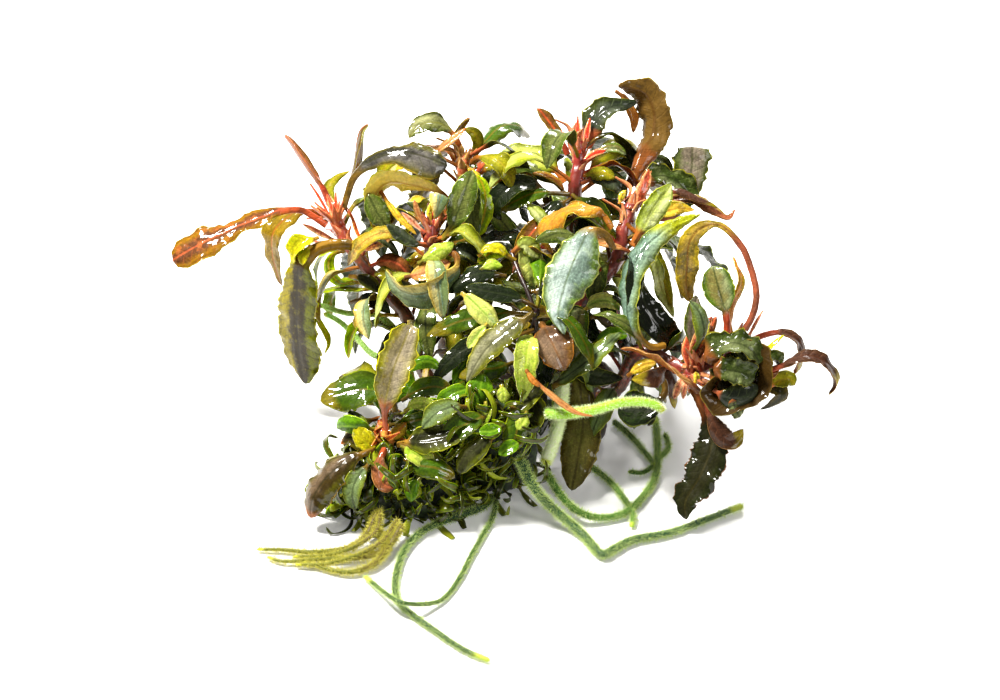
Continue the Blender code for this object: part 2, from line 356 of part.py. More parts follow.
# Leaves at the back, also fused to their shoot. Their faces and places are real ones
BACK_LEAVES = (
    ("shoot_left", 4.2, 0.2, 0.6, (-0.20, 0.70, 0.70), (
        (-21.2, 19.6, 24.0), (-19.4, 24.4, 25.4), (-17.4, 28.6, 23.0), (-16.6, 31.8, 17.5),
        (-16.2, 33.4, 11.0))),
    ("shoot_left", 3.8, 0.2, 0.6, (-0.60, 0.60, 0.50), (
        (-19.2, 17.6, 20.6), (-20.4, 23.0, 19.6), (-19.9, 26.8, 14.8), (-19.6, 29.2, 9.0),
        (-20.0, 30.4, 3.6))),
    ("shoot_back_left", 4.4, 0.2, 0.6, (-0.30, 0.75, 0.60), (
        (-5.4, 25.3, 29.5), (-7.2, 29.6, 30.4), (-9.2, 33.6, 26.6), (-10.8, 36.2, 20.0),
        (-11.4, 37.4, 14.0))),
    ("shoot_back_left", 4.4, 0.2, 0.6, (0.10, 0.75, 0.65), (
        (-5.0, 25.0, 26.0), (-2.6, 30.0, 28.0), (-1.0, 34.4, 24.4), (0.0, 37.0, 19.0),
        (0.2, 38.2, 14.6))),
    ("shoot_back_left", 3.8, 0.2, 0.6, (-0.50, 0.60, 0.62), (
        (-4.6, 24.7, 20.5), (-8.2, 28.8, 21.0), (-11.2, 31.4, 16.6), (-13.2, 32.8, 11.0),
        (-14.0, 33.4, 6.0))),
    ("shoot_back_right", 4.6, 0.2, 0.6, (0.10, 0.75, 0.65), (
        (9.5, 23.2, 31.0), (11.4, 29.0, 32.4), (13.2, 33.4, 29.0), (14.6, 36.8, 22.4),
        (15.0, 38.4, 15.4))),
    ("shoot_back_right", 4.2, 0.2, 0.6, (0.40, 0.65, 0.65), (
        (9.1, 22.0, 28.0), (15.0, 28.2, 28.4), (19.4, 32.2, 24.6), (22.2, 35.0, 18.4),
        (23.6, 36.6, 12.4))),
    ("shoot_back_right", 3.8, 0.2, 0.6, (-0.10, 0.70, 0.70), (
        (9.2, 23.0, 22.0), (8.4, 28.2, 23.4), (7.2, 32.2, 21.4), (6.4, 34.8, 17.6))),
    ("shoot_back_right", 4.0, 0.2, 0.6, (0.60, 0.45, 0.65), (
        (9.0, 22.8, 20.5), (15.2, 26.0, 22.4), (20.0, 28.4, 18.6), (23.0, 29.6, 12.4),
        (24.4, 30.2, 6.4))),
    ("shoot_right_centre", 4.0, 0.2, 0.6, (0.50, 0.50, 0.70), (
        (14.9, 12.3, 25.3), (21.0, 18.6, 22.8), (25.4, 22.6, 20.2), (28.2, 25.6, 14.8),
        (29.2, 27.2, 9.0))),
    ("shoot_right", 3.6, 0.2, 0.6, (0.10, 0.65, 0.70), (
        (23.4, -0.2, 15.8), (24.4, 6.0, 15.2), (23.8, 12.0, 13.0), (23.2, 16.4, 8.6),
        (23.0, 18.8, 4.2))),
    ("shoot_right", 3.4, 0.2, 0.6, (0.10, 0.65, 0.70), (
        (15.0, 5.5, 9.4), (16.8, 9.6, 11.0), (17.6, 15.0, 8.4), (18.6, 19.4, 3.8))),
    ("shoot_low_left", 3.6, 0.2, 0.6, (-0.40, 0.40, 0.80), (
        (-14.3, 2.6, 7.2), (-17.2, 7.2, 9.6), (-20.0, 11.8, 7.4), (-21.2, 15.2, 3.2))),
    ("shoot_back", 4.2, 0.2, 0.6, (-0.05, 0.65, 0.75), (
        (4.8, 29.2, 13.2), (4.2, 33.8, 15.6), (3.6, 37.0, 12.6), (3.4, 38.8, 7.6),
        (3.6, 39.7, 3.0))),
    ("shoot_back", 4.0, 0.2, 0.6, (-0.30, 0.55, 0.75), (
        (4.7, 29.0, 12.0), (-2.2, 32.0, 12.8), (-7.4, 34.8, 9.6), (-10.8, 36.4, 4.4))),
    ("shoot_back", 4.0, 0.2, 0.6, (0.30, 0.55, 0.75), (
        (4.8, 29.0, 12.2), (11.0, 31.6, 13.2), (16.0, 33.6, 9.8), (19.2, 35.0, 4.2))),
    ("shoot_back", 3.8, 0.2, 0.6, (0.15, 0.65, 0.75), (
        (4.8, 29.2, 12.8), (8.8, 34.2, 12.6), (10.6, 37.4, 8.6), (11.4, 39.0, 3.4))),
)

# Roots: radius at the base and at the tip, and places; those of one name are fused
ROOTS = (
    ("root_white_horizontal", 0.65, 0.45, (
        seen(5.8, -8.1, 11.6), seen(8.0, -8.3, 12.5), seen(12.0, -7.8, 13.0),
        seen(16.0, -6.8, 12.6), seen(19.5, -6.9, 12.0), seen(21.4, -7.9, 11.4))),
    ("root_white_hanging", 0.8, 0.7, (
        Vector((5.7, 3.8, 11.6)), Vector((7.3, 1.6, 13.2)), seen(8.1, -5.2, 7.2),
        seen(7.5, -10.0, 8.8), seen(5.8, -15.0, 9.8))),
    ("root_long_right", 0.8, 0.5, (
        seen(2.4, -13.8, 11.4), seen(4.3, -17.7, 12.0), on_floor(7.2, -20.9, 2.4),
        on_floor(10.7, -23.9, 0.9), on_floor(13.1, -26.5, 0.85), on_floor(14.6, -26.0, 0.75),
        on_floor(17.2, -24.7, 0.7), on_floor(22.2, -23.7, 0.65), on_floor(27.1, -21.9, 0.6),
        on_floor(31.6, -20.2, 0.6))),
    ("root_looped", 0.62, 0.5, (
        on_floor(5.9, -15.7, 5.0), on_floor(8.0, -19.0, 3.3), on_floor(10.2, -21.0, 1.9),
        on_floor(13.0, -21.8, 0.9), on_floor(16.2, -21.2, 0.7), on_floor(18.7, -18.9, 0.65),
        on_floor(20.2, -16.4, 0.65), on_floor(20.5, -12.7, 0.6), on_floor(20.2, -8.7, 0.6))),
    ("root_looped", 0.5, 0.42, (
        on_floor(11.7, -15.0, 0.6), on_floor(14.4, -17.2, 0.6), on_floor(16.4, -19.7, 0.65),
        on_floor(17.3, -21.4, 0.6), on_floor(17.1, -23.0, 0.55))),
    ("root_looped", 0.5, 0.4, (
        on_floor(14.7, -9.2, 0.6), on_floor(17.2, -11.4, 0.6), on_floor(19.6, -14.2, 0.6),
        on_floor(20.3, -15.2, 0.65))),
    ("root_looped", 0.4, 0.35, (
        on_floor(20.1, -14.9, 0.6), on_floor(18.6, -15.9, 0.5), on_floor(16.6, -15.8, 0.5))),
    ("root_looped", 0.45, 0.35, (
        on_floor(20.5, -14.2, 0.6), on_floor(21.9, -12.7, 0.5), on_floor(21.4, -10.8, 0.5))),
    ("root_long_front", 0.6, 0.42, (
        on_floor(-0.9, -19.0, 0.8), on_floor(-2.5, -20.5, 0.7), on_floor(-5.9, -21.7, 0.65),
        on_floor(-9.7, -23.3, 0.65), on_floor(-12.2, -25.7, 0.65), on_floor(-13.4, -28.7, 0.65),
        on_floor(-13.6, -31.5, 0.62), on_floor(-12.5, -33.5, 0.6), on_floor(-8.3, -36.6, 0.55),
        on_floor(-4.8, -38.9, 0.55), on_floor(-1.3, -40.4, 0.5))),
    ("root_thin_front", 0.42, 0.35, (
        on_floor(-0.9, -21.6, 0.5), on_floor(-2.2, -24.0, 0.5), on_floor(-3.9, -27.0, 0.5),
        on_floor(-5.1, -29.4, 0.5), on_floor(-6.9, -31.9, 0.5), on_floor(-8.7, -32.9, 0.8),
        on_floor(-11.8, -33.0, 2.0), on_floor(-14.1, -32.2, 2.0), on_floor(-17.6, -29.4, 0.6))),
    ("root_brown_bundle", 0.8, 0.3, (
        on_floor(-15.9, -21.0, 3.2), on_floor(-17.3, -24.0, 1.6), on_floor(-19.9, -25.8, 0.8),
        on_floor(-24.5, -26.3, 0.7), on_floor(-28.0, -26.0, 0.6), on_floor(-31.7, -25.9, 0.5))),
    ("root_brown_bundle", 0.8, 0.3, (
        on_floor(-12.6, -22.6, 2.8), on_floor(-14.6, -25.6, 1.2), on_floor(-17.6, -26.9, 0.8),
        on_floor(-23.4, -27.2, 0.7), on_floor(-28.0, -27.5, 0.6), on_floor(-30.3, -26.9, 0.5))),
    ("root_brown_bundle", 0.8, 0.3, (
        on_floor(-14.4, -25.6, 1.2), on_floor(-16.6, -28.0, 0.8), on_floor(-19.9, -28.9, 0.7),
        on_floor(-23.4, -28.2, 0.6), on_floor(-25.7, -27.5, 0.6))),
    ("root_brown_bundle", 0.9, 0.8, (
        on_floor(-16.4, -22.8, 2.4), on_floor(-15.4, -24.2, 1.6), on_floor(-14.6, -25.7, 1.2))),
    ("root_pale_pair", 0.4, 0.3, (
        seen(-13.0, 2.0, -7.0), seen(-15.0, 4.0, -7.0), seen(-17.0, 4.8, -7.0),
        seen(-20.0, 4.8, -7.2), seen(-24.2, 6.1, -7.6))),
    ("root_pale_pair", 0.4, 0.3, (
        seen(-13.0, 2.0, -7.0), seen(-14.4, -0.4, -7.2), seen(-16.5, -0.6, -7.4),
        seen(-19.0, 2.0, -7.8), seen(-21.0, 3.8, -8.2), seen(-23.0, 4.8, -9.0))),
)


def smooth_path(points, spacing, fewest):
    """Evenly spaced points on a smooth curve through the given ones."""
    ends = [points[0] * 2.0 - points[1]] + list(points) + [points[-1] * 2.0 - points[-2]]
    fine = []
    for index in range(1, len(ends) - 2):
        before, start, stop, after = ends[index - 1:index + 3]
        for step in range(CURVE_STEPS):
            t = step / CURVE_STEPS
            fine.append(0.5 * (2.0 * start + (stop - before) * t
                               + (2.0 * before - 5.0 * start + 4.0 * stop - after) * t * t
                               + (3.0 * start - before - 3.0 * stop + after) * t * t * t))
    fine.append(points[-1].copy())
    lengths = [0.0]
    for first, second in zip(fine, fine[1:]):
        lengths.append(lengths[-1] + (second - first).length)
    count = max(fewest, round(lengths[-1] / spacing) + 1)
    path = []
    place = 0
    for number in range(count):
        wanted = lengths[-1] * number / (count - 1)
        while place < len(fine) - 2 and lengths[place + 1] < wanted:
            place += 1
        share = (wanted - lengths[place]) / (lengths[place + 1] - lengths[place])
        path.append(fine[place].lerp(fine[place + 1], min(max(share, 0.0), 1.0)))
    return path


def tangents(path):
    """The direction of a path at each of its points."""
    last = len(path) - 1
    return [(path[min(i + 1, last)] - path[max(i - 1, 0)]).normalized()
            for i in range(len(path))]


def across(normal, tangent):
    """The part of a direction that is square to a path."""
    return (normal - tangent * normal.dot(tangent)).normalized()


def carried_normals(path, facing, turn_base, turn_tip):
    """Directions square to a path that turn with it, set at mid-length and twisted to its ends."""
    ways = tangents(path)
    middle = len(path) // 2
    normals = [None] * len(path)
    normals[middle] = across(facing, ways[middle])
    for i in range(middle + 1, len(path)):
        normals[i] = across(normals[i - 1], ways[i])
    for i in range(middle - 1, -1, -1):
        normals[i] = across(normals[i + 1], ways[i])
    twisted = []
    for i, normal in enumerate(normals):
        share = 2.0 * i / (len(path) - 1) - 1.0
        angle = math.radians(turn_tip * share if share > 0.0 else -turn_base * share)
        twisted.append(Matrix.Rotation(angle, 3, ways[i]) @ normal)
    return ways, twisted


def half_width(share, width, stalk_share, widest, stalk_width):
    """Half the width of a leaf at a share of its length."""
    stalk = stalk_width / 2.0
    if share <= stalk_share:
        return stalk
    blade = (share - stalk_share) / (1.0 - stalk_share)
    peak = (widest - stalk_share) / (1.0 - stalk_share)
    rise = (blade / peak) ** (LEAF_FULLNESS * peak)
    fall = (max(1.0 - blade, 0.0) / (1.0 - peak)) ** (LEAF_FULLNESS * (1.0 - peak))
    return max(stalk * (1.0 - blade), width / 2.0 * rise * fall, TIP_WIDTH / 2.0)


def mesh_object(name, mesh_data, finish):
    """A named object with its own finish from closed mesh data."""
    mesh = bpy.data.meshes.new(name)
    mesh_data.normal_update()
    mesh_data.to_mesh(mesh)
    mesh_data.free()
    piece = bpy.data.objects.new(name, mesh)
    bpy.context.collection.objects.link(piece)
    if finish is not None:
        colour, roughness = FINISHES[finish]
        material = bpy.data.materials.new(name + "_finish")
        material.use_nodes = True
        shader = material.node_tree.nodes["Principled BSDF"]
        shader.inputs["Base Color"].default_value = (*colour, 1.0)
        shader.inputs["Roughness"].default_value = roughness
        shader.inputs["Metallic"].default_value = 0.0
        mesh.materials.append(material)
        mesh.shade_smooth()
        mesh.set_sharp_from_angle(angle=math.radians(CREASE_ANGLE))
    return piece


def skin(rings):
    """Closed mesh data over rings of points, with a flat cap at each end."""
    data = bmesh.new()
    rows = [[data.verts.new(point * MM) for point in ring] for ring in rings]
    sides = len(rows[0])
    for row, following in zip(rows, rows[1:]):
        for side in range(sides):
            beside = (side + 1) % sides
            data.faces.new((row[side], row[beside], following[beside], following[side]))
    data.faces.new(list(reversed(rows[0])))
    data.faces.new(rows[-1])
    bmesh.ops.recalc_face_normals(data, faces=data.faces)
    return data


def leaf_data(points, facing, width, stalk_share, widest, turns, small):
    """A leaf with its stalk, as one closed blade."""
    spacing = SMALL_STATION_SPACING if small else STATION_SPACING
    path = smooth_path(points, spacing, FEWEST_SMALL_STATIONS if small else FEWEST_STATIONS)
    stalk_width = SMALL_STALK_WIDTH if small else STALK_WIDTH
    ways, normals = carried_normals(path, facing, *turns)
    rings = []
    for i, place in enumerate(path):
        share = i / (len(path) - 1)
        half = half_width(share, width, stalk_share, widest, stalk_width)
        side = ways[i].cross(normals[i])
        thick = min(half, LEAF_THICKNESS / 2.0)
        if share <= stalk_share:
            thick = half
        rise = LEAF_EDGE_RISE * half if half > stalk_width / 2.0 else 0.0
        left = place - side * half + normals[i] * rise
        right = place + side * half + normals[i] * rise
        top = place + normals[i] * thick
        bottom = place - normals[i] * thick
        if small or width < NARROW_WIDTH:
            rings.append((left, bottom, right, top))
        else:
            shoulder = normals[i] * (rise * SHOULDER_RISE + thick * SHOULDER_THICKNESS)
            top_left = place - side * half * SHOULDER_PLACE + shoulder
            top_right = place + side * half * SHOULDER_PLACE + shoulder
            rings.append((left, bottom, right, top_right, top, top_left))
    return skin(rings)


def tube_data(points, radius_base, radius_tip, sides, spacing, lumps):
    """A closed tube along a smooth path, with slow lumps along its length."""
    path = smooth_path(points, spacing, FEWEST_TUBE_STATIONS)
    ways, normals = carried_normals(path, Vector((0.13, 0.21, 0.97)), 0.0, 0.0)
    rings = []
    for i, place in enumerate(path):
        share = i / (len(path) - 1)
        radius = radius_base + (radius_tip - radius_base) * share
        radius *= 1.0 + lumps * math.sin(i * LUMP_TURN)
        side = ways[i].cross(normals[i])
        ring = []
        for number in range(sides):
            angle = 2.0 * math.pi * number / sides
            ring.append(place + (side * math.cos(angle) + normals[i] * math.sin(angle)) * radius)
        rings.append(ring)
    return skin(rings)


def fused(name, datas, finish):
    """One object from several closed shapes that run into each other."""
    first = mesh_object(name, datas[0], finish)
    for number, data in enumerate(datas[1:]):
        other = mesh_object(f"{name}_part_{number}", data, None)
        other.hide_render = True
        other.display_type = "WIRE"
        union = first.modifiers.new(f"union_{number}", "BOOLEAN")
        union.operation = "UNION"
        union.solver = "EXACT"
        union.object = other
    return first


def cut_flat(data, height):
    """Cuts closed mesh data off flat at a height and keeps what is above."""
    geometry = data.verts[:] + data.edges[:] + data.faces[:]
    cut = bmesh.ops.bisect_plane(data, geom=geometry, plane_co=(0.0, 0.0, height * MM),
                                 plane_no=(0.0, 0.0, -1.0), clear_outer=True)
    rim = [item for item in cut["geom_cut"] if isinstance(item, bmesh.types.BMEdge)]
    bmesh.ops.contextual_create(data, geom=rim)
    bmesh.ops.recalc_face_normals(data, faces=data.faces)
    return data


def old_rhizomes():
    """The old creeping rhizomes, fused and flat underneath."""
    datas = [cut_flat(tube_data(points, radius, radius * RHIZOME_TAPER, RHIZOME_SIDES,
                                RHIZOME_SPACING, RHIZOME_LUMPS), 0.0)
             for radius, points in OLD_RHIZOMES]
    return fused("old_rhizomes", datas, "old_stem")


def moss_mat():
    """The lumpy mat of curly leaflets, flat underneath."""
    datas = []
    for middle, half_sizes in MOSS_MOUNDS:
        data = bmesh.new()
        bmesh.ops.create_icosphere(data, subdivisions=MOSS_FINENESS, radius=1.0)
        for vert in data.verts:
            x, y, z = vert.co
            wave = math.sin(7.0 * x + 2.0 * z) * math.cos(6.0 * y - 3.0 * x)
            lump = MOSS_SIZE + MOSS_LUMPS * wave
            vert.co = Vector((middle[i] + vert.co[i] * half_sizes[i] * lump
                              for i in range(3))) * MM
        datas.append(cut_flat(data, REST_HEIGHT))
    return fused("moss_mat", datas, "moss")


def shoot(name):
    """A stem with its branches, its small leaves and its leaves at the back."""
    radius_base, radius_bud, points = STEMS[name]
    datas = [tube_data(points, radius_base, radius_bud, STEM_SIDES, STEM_SPACING, STEM_LUMPS)]
    for owner, base, bud, places in BRANCHES:
        if owner == name:
            datas.append(tube_data(places, base, bud, STEM_SIDES, STEM_SPACING, 0.0))
    for owner, width, stalk, widest, facing, places in SMALL_LEAVES:
        if owner == name:
            route = [seen(*place) for place in places]
            datas.append(leaf_data(route, direction(*facing), width, stalk, widest,
                                   (0.0, 0.0), True))
    for owner, width, stalk, widest, facing, places in BACK_LEAVES:
        if owner == name:
            route = [Vector(place) for place in places]
            datas.append(leaf_data(route, Vector(facing).normalized(), width, stalk, widest,
                                   (0.0, 0.0), True))
    return fused(name, datas, "stem")


def roots():
    """The roots, with those of one name fused."""
    names = list(dict.fromkeys(row[0] for row in ROOTS))
    for name in names:
        datas = [tube_data(points, base, tip, ROOT_SIDES, ROOT_SPACING, 0.0)
                 for owner, base, tip, points in ROOTS if owner == name]
        fused(name, datas, "brown_root" if "brown" in name else "root")


def build():
    """Builds the whole clump."""
    for item in list(bpy.data.objects):
        bpy.data.objects.remove(item, do_unlink=True)
    old_rhizomes()
    moss_mat()
    for name in STEMS:
        shoot(name)
    roots()
    for name, width, stalk, widest, facing, turn_base, turn_tip, finish, places in LEAVES:
        route = [seen(*place) for place in places]
        data = leaf_data(route, direction(*facing), width, stalk, widest,
                         (turn_base, turn_tip), False)
        mesh_object(name, data, finish)


build()
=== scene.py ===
# %% [markdown]
# # A clump of bucephalandra, picked bare from the water
#
# The plant is a bunch of leafy shoots on old creeping stems. Its leaves are leathery and arch over,
# its roots hang loose, and a mat of curly leaflets sits low at the front. The solids of the clump
# are made already, at true size. This file dresses them: it grows a finely shaped leaf, root or
# stem in the place of each solid, and gives it a finish that works at the scale of the real plant.

# %% Load the solids
import json
import math
import re
import bpy
import numpy
from mathutils import Matrix, Vector

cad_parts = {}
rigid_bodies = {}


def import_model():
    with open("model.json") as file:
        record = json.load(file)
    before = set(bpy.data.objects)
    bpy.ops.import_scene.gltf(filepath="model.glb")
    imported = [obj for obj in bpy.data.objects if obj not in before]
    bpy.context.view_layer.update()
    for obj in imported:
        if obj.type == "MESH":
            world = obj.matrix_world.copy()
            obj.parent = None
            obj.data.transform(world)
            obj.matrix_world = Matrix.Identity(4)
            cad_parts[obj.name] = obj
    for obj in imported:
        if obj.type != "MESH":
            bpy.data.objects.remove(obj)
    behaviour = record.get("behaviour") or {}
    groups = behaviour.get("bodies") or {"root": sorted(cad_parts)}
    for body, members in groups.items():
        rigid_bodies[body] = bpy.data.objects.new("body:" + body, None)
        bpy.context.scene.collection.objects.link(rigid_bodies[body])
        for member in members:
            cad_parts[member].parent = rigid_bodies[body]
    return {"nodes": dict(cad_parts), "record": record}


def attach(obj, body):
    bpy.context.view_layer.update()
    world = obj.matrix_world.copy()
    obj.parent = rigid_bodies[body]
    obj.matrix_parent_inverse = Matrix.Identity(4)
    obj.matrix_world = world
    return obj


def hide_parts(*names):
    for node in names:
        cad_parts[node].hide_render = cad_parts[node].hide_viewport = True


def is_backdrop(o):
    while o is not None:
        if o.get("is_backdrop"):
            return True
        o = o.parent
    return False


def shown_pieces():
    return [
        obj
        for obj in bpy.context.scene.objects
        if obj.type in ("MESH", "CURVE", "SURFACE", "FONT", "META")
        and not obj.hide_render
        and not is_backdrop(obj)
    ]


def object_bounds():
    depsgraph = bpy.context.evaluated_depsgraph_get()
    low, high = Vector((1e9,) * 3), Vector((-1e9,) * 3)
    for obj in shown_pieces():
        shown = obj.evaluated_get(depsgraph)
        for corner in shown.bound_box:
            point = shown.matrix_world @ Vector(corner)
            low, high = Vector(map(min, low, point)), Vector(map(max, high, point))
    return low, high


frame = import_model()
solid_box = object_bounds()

scene = bpy.context.scene
MM = 0.001
box_in_mm = [round(value / MM, 1) for corner in solid_box for value in corner]
print("solids", len(frame["nodes"]), "box", box_in_mm)

# %% [markdown]
# ## The viewer's place
#
# The photograph looks down on the clump at 35 degrees from well away, through a long lens. Most
# places on the plant are easiest to give as they are seen: to the right, up, and nearer to the
# viewer, in millimetres from a centre inside the clump. `seen` turns such a place into a real one.
# The solids use the same words, so a leaf grown here lands on its solid.

# %% Camera
ELEVATION = math.radians(35.0)
VIEW_DISTANCE = 541.7 * MM
VIEW_CENTRE = Vector((-0.33, 9.03, 12.8)) * MM
VIEW_RIGHT = Vector((1.0, 0.0, 0.0))
VIEW_UP = Vector((0.0, math.sin(ELEVATION), math.cos(ELEVATION)))
VIEW_NEAR = Vector((0.0, -math.cos(ELEVATION), math.sin(ELEVATION)))
EYE = VIEW_CENTRE + VIEW_NEAR * VIEW_DISTANCE
LENS = 150.0
SENSOR = 36.0

camera_data = bpy.data.cameras.new("camera")
camera_data.lens = LENS
camera_data.sensor_width = SENSOR
camera_data.clip_start = 0.01
camera = bpy.data.objects.new("camera", camera_data)
camera.matrix_world = Matrix.Translation(EYE) @ Matrix.Rotation(math.pi / 2.0 - ELEVATION, 4, "X")
scene.collection.objects.link(camera)
scene.camera = camera


def towards(right, up):
    """The place that shows at right and up, on the plane through the view's centre."""
    return VIEW_CENTRE + (VIEW_RIGHT * right + VIEW_UP * up) * MM


def seen(right, up, near):
    """The real place that shows at right and up, and lies near towards the viewer."""
    return EYE + (towards(right, up) - EYE) * ((VIEW_DISTANCE - near * MM) / VIEW_DISTANCE)


def on_floor(right, up, height):
    """The real place that shows at right and up, and lies at a height above the surface."""
    target = towards(right, up)
    return EYE + (target - EYE) * ((EYE.z - height * MM) / (EYE.z - target.z))


def real(x, y, z):
    """A place given in real millimetres."""
    return Vector((x, y, z)) * MM


def seen_way(right, up, near):
    """A unit direction from its seen parts."""
    return (VIEW_RIGHT * right + VIEW_UP * up + VIEW_NEAR * near).normalized()


print("camera at", [round(value / MM) for value in EYE], "mm")

# %% [markdown]
# ## Light and floor
#
# The clump was photographed on a white table between large soft lamps. A wet leaf shows its form
# mostly by what it mirrors, so the lamps matter more than their power: a broad one high on the
# left draws the long white streaks, one on the right fills, and one behind rims the margins. The
# sky is a plain pale grey, which keeps the hollows between the leaves dark but not black.

# %% Studio
LAMPS = (
    # name, place in mm, size in mm, power in watts, colour
    ("key", (-220.0, 60.0, 460.0), 105.0, 7.2, (1.0, 0.975, 0.93)),
    ("fill", (330.0, -220.0, 340.0), 170.0, 0.75, (1.0, 0.99, 0.97)),
    ("rim", (60.0, 420.0, 330.0), 150.0, 2.6, (1.0, 0.99, 0.95)),
)
for name, place, size, power, colour in LAMPS:
    lamp = bpy.data.lights.new(name, "AREA")
    lamp.shape = "SQUARE"
    lamp.size = size * MM
    lamp.energy = power
    lamp.color = colour
    holder = bpy.data.objects.new(name, lamp)
    holder.location = real(*place)
    holder.rotation_euler = (VIEW_CENTRE - holder.location).to_track_quat("-Z", "Y").to_euler()
    scene.collection.objects.link(holder)

SKY_STRENGTH = 0.15
world = bpy.data.worlds.new("studio")
world.use_nodes = True
sky = world.node_tree.nodes["Background"]
sky.inputs["Color"].default_value = (1.0, 0.98, 0.94, 1.0)
sky.inputs["Strength"].default_value = SKY_STRENGTH
scene.world = world
scene.view_settings.view_transform = "Standard"

FLOOR_HALF = 900.0
FLOOR_DROP = 0.02
FLOOR_TONE = 0.84
FLOOR_GLOW = 0.15
floor_mesh = bpy.data.meshes.new("floor")
corners = [real(x * FLOOR_HALF, y * FLOOR_HALF, -FLOOR_DROP)
           for x, y in ((-1, -1), (1, -1), (1, 1), (-1, 1))]
floor_mesh.from_pydata(corners, [], [(0, 1, 2, 3)])
floor = bpy.data.objects.new("floor", floor_mesh)
scene.collection.objects.link(floor)
floor_finish = bpy.data.materials.new("pale_table")
floor_finish.use_nodes = True
floor_shader = floor_finish.node_tree.nodes["Principled BSDF"]
floor_shader.inputs["Base Color"].default_value = (FLOOR_TONE, FLOOR_TONE, FLOOR_TONE, 1.0)
floor_shader.inputs["Roughness"].default_value = 0.45
floor_shader.inputs["Emission Color"].default_value = (1.0, 1.0, 1.0, 1.0)
floor_shader.inputs["Emission Strength"].default_value = FLOOR_GLOW
floor_mesh.materials.append(floor_finish)
floor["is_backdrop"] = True
print("lamps", len(LAMPS))

# %% [markdown]
# ## Paths
#
# Every leaf, stem and root follows a curve through a few given places. `smooth_path` puts evenly
# spaced points on a smooth curve through them, and `carried_normals` carries a direction along it
# without letting it spin, which is what a leaf does as it grows: its upper side stays its upper
# side however the leaf arches.

# %% Path helpers
CURVE_STEPS = 12


def smooth_path(points, spacing, fewest=8):
    """Evenly spaced points on a smooth curve through the given ones."""
    ends = [points[0] * 2.0 - points[1]] + list(points) + [points[-1] * 2.0 - points[-2]]
    fine = []
    for index in range(1, len(ends) - 2):
        before, start, stop, after = ends[index - 1:index + 3]
        for step in range(CURVE_STEPS):
            t = step / CURVE_STEPS
            fine.append(0.5 * (2.0 * start + (stop - before) * t
                               + (2.0 * before - 5.0 * start + 4.0 * stop - after) * t * t
                               + (3.0 * start - before - 3.0 * stop + after) * t * t * t))
    fine.append(points[-1].copy())
    lengths = numpy.concatenate(([0.0], numpy.cumsum([(b - a).length for a, b in zip(fine, fine[1:])])))
    count = max(fewest, round(lengths[-1] / (spacing * MM)) + 1)
    wanted = numpy.linspace(0.0, lengths[-1], count)
    return [Vector(numpy.interp(wanted, lengths, [point[axis] for point in fine])[number]
                   for axis in range(3)) for number in range(count)]


def tangents(path):
    """The direction of a path at each of its points."""
    last = len(path) - 1
    return [(path[min(i + 1, last)] - path[max(i - 1, 0)]).normalized() for i in range(last + 1)]


def square_to(way, tangent):
    """The part of a direction that is square to a path."""
    return (way - tangent * way.dot(tangent)).normalized()


def carried_normals(path, facing, turn_base=0.0, turn_tip=0.0):
    """Directions square to a path, set at mid-length and twisted towards its ends in degrees."""
    ways = tangents(path)
    middle = len(path) // 2
    normals = [None] * len(path)
    normals[middle] = square_to(facing, ways[middle])
    for i in range(middle + 1, len(path)):
        normals[i] = square_to(normals[i - 1], ways[i])
    for i in range(middle - 1, -1, -1):
        normals[i] = square_to(normals[i + 1], ways[i])
    twisted = []
    for i, normal in enumerate(normals):
        share = 2.0 * i / (len(path) - 1) - 1.0
        angle = math.radians(turn_tip * share if share > 0.0 else -turn_base * share)
        twisted.append(Matrix.Rotation(angle, 3, ways[i]) @ normal)
    return ways, twisted


# %% [markdown]
# ## Tables of small shapes
#
# The plant has a few hundred leaves, stems and roots, so each is a row of a text table and not a
# line of code. A row holds names and sizes, then a bar, then the places that the shape passes
# through, with commas between them. A place is given as it is seen, until the word real or floor
# stands before one. A row with no bar is a heading for those below it, and a line that starts
# with a space goes on with the row above. A look is a row too: its name, a colon and its settings.

# %% Table readers
WAYS_TO_PLACE = {
    "seen": seen, "real": real, "floor": on_floor,
    "shares": lambda share, left, right: (share, left, right),
}


def rows_of(table):
    """The rows of a table, with the lines of each put together."""
    return re.split(r"\n(?=[a-z])", table.strip())


def words_of(row):
    """The words of a row, with its numbers turned into numbers."""
    return [float(word) if word[-1].isdigit() else word for word in row.split()]


def shapes_of(table):
    """The heading above each row of a table, its names and sizes, and its places."""
    heading = None
    for row in rows_of(table):
        words, bar, places = row.partition("|")
        if not bar:
            heading = row
            continue
        way, route = seen, []
        for place in places.split(","):
            *kind, right, up, near = words_of(place)
            way = WAYS_TO_PLACE[kind[0]] if kind else way
            route.append(way(right, up, near))
        yield heading, words_of(words), route


def settings_of(table, order=()):
    """Settings by name, from rows such as "old_stem: young 74 50 30, coat .25".

    The settings named in order come first in a row and need no word of their own.
    """
    made = {}
    for row in rows_of(table):
        name, _, items = row.partition(":")
        made[name] = {}
        for place, item in enumerate(map(words_of, items.split(","))):
            setting = order[place] if place < len(order) else item.pop(0)
            made[name][setting] = tuple(item) if len(item) > 1 else item[0]
    return made


print("ways to give a place", len(WAYS_TO_PLACE))

# %% [markdown]
# ## Writing node trees as sums
#
# A Geometry Nodes or shader tree is a formula drawn as boxes. `Flow` lets the same formula be
# written as one: adding, multiplying or bending two flows puts the Math node in the tree and links
# it. The trees stay ordinary trees that can be opened and changed in Blender's node editor.

# %% Node helpers
PER_SQUARE_MM = 1e6
FULL_TURN = 6.28


def feed(tree, socket, value):
    """Links a flow to a socket, or sets the socket to a plain value."""
    if isinstance(value, Flow):
        tree.links.new(value.socket, socket)
    elif isinstance(value, bpy.types.NodeSocket):
        tree.links.new(value, socket)
    elif value is not None:
        socket.default_value = value


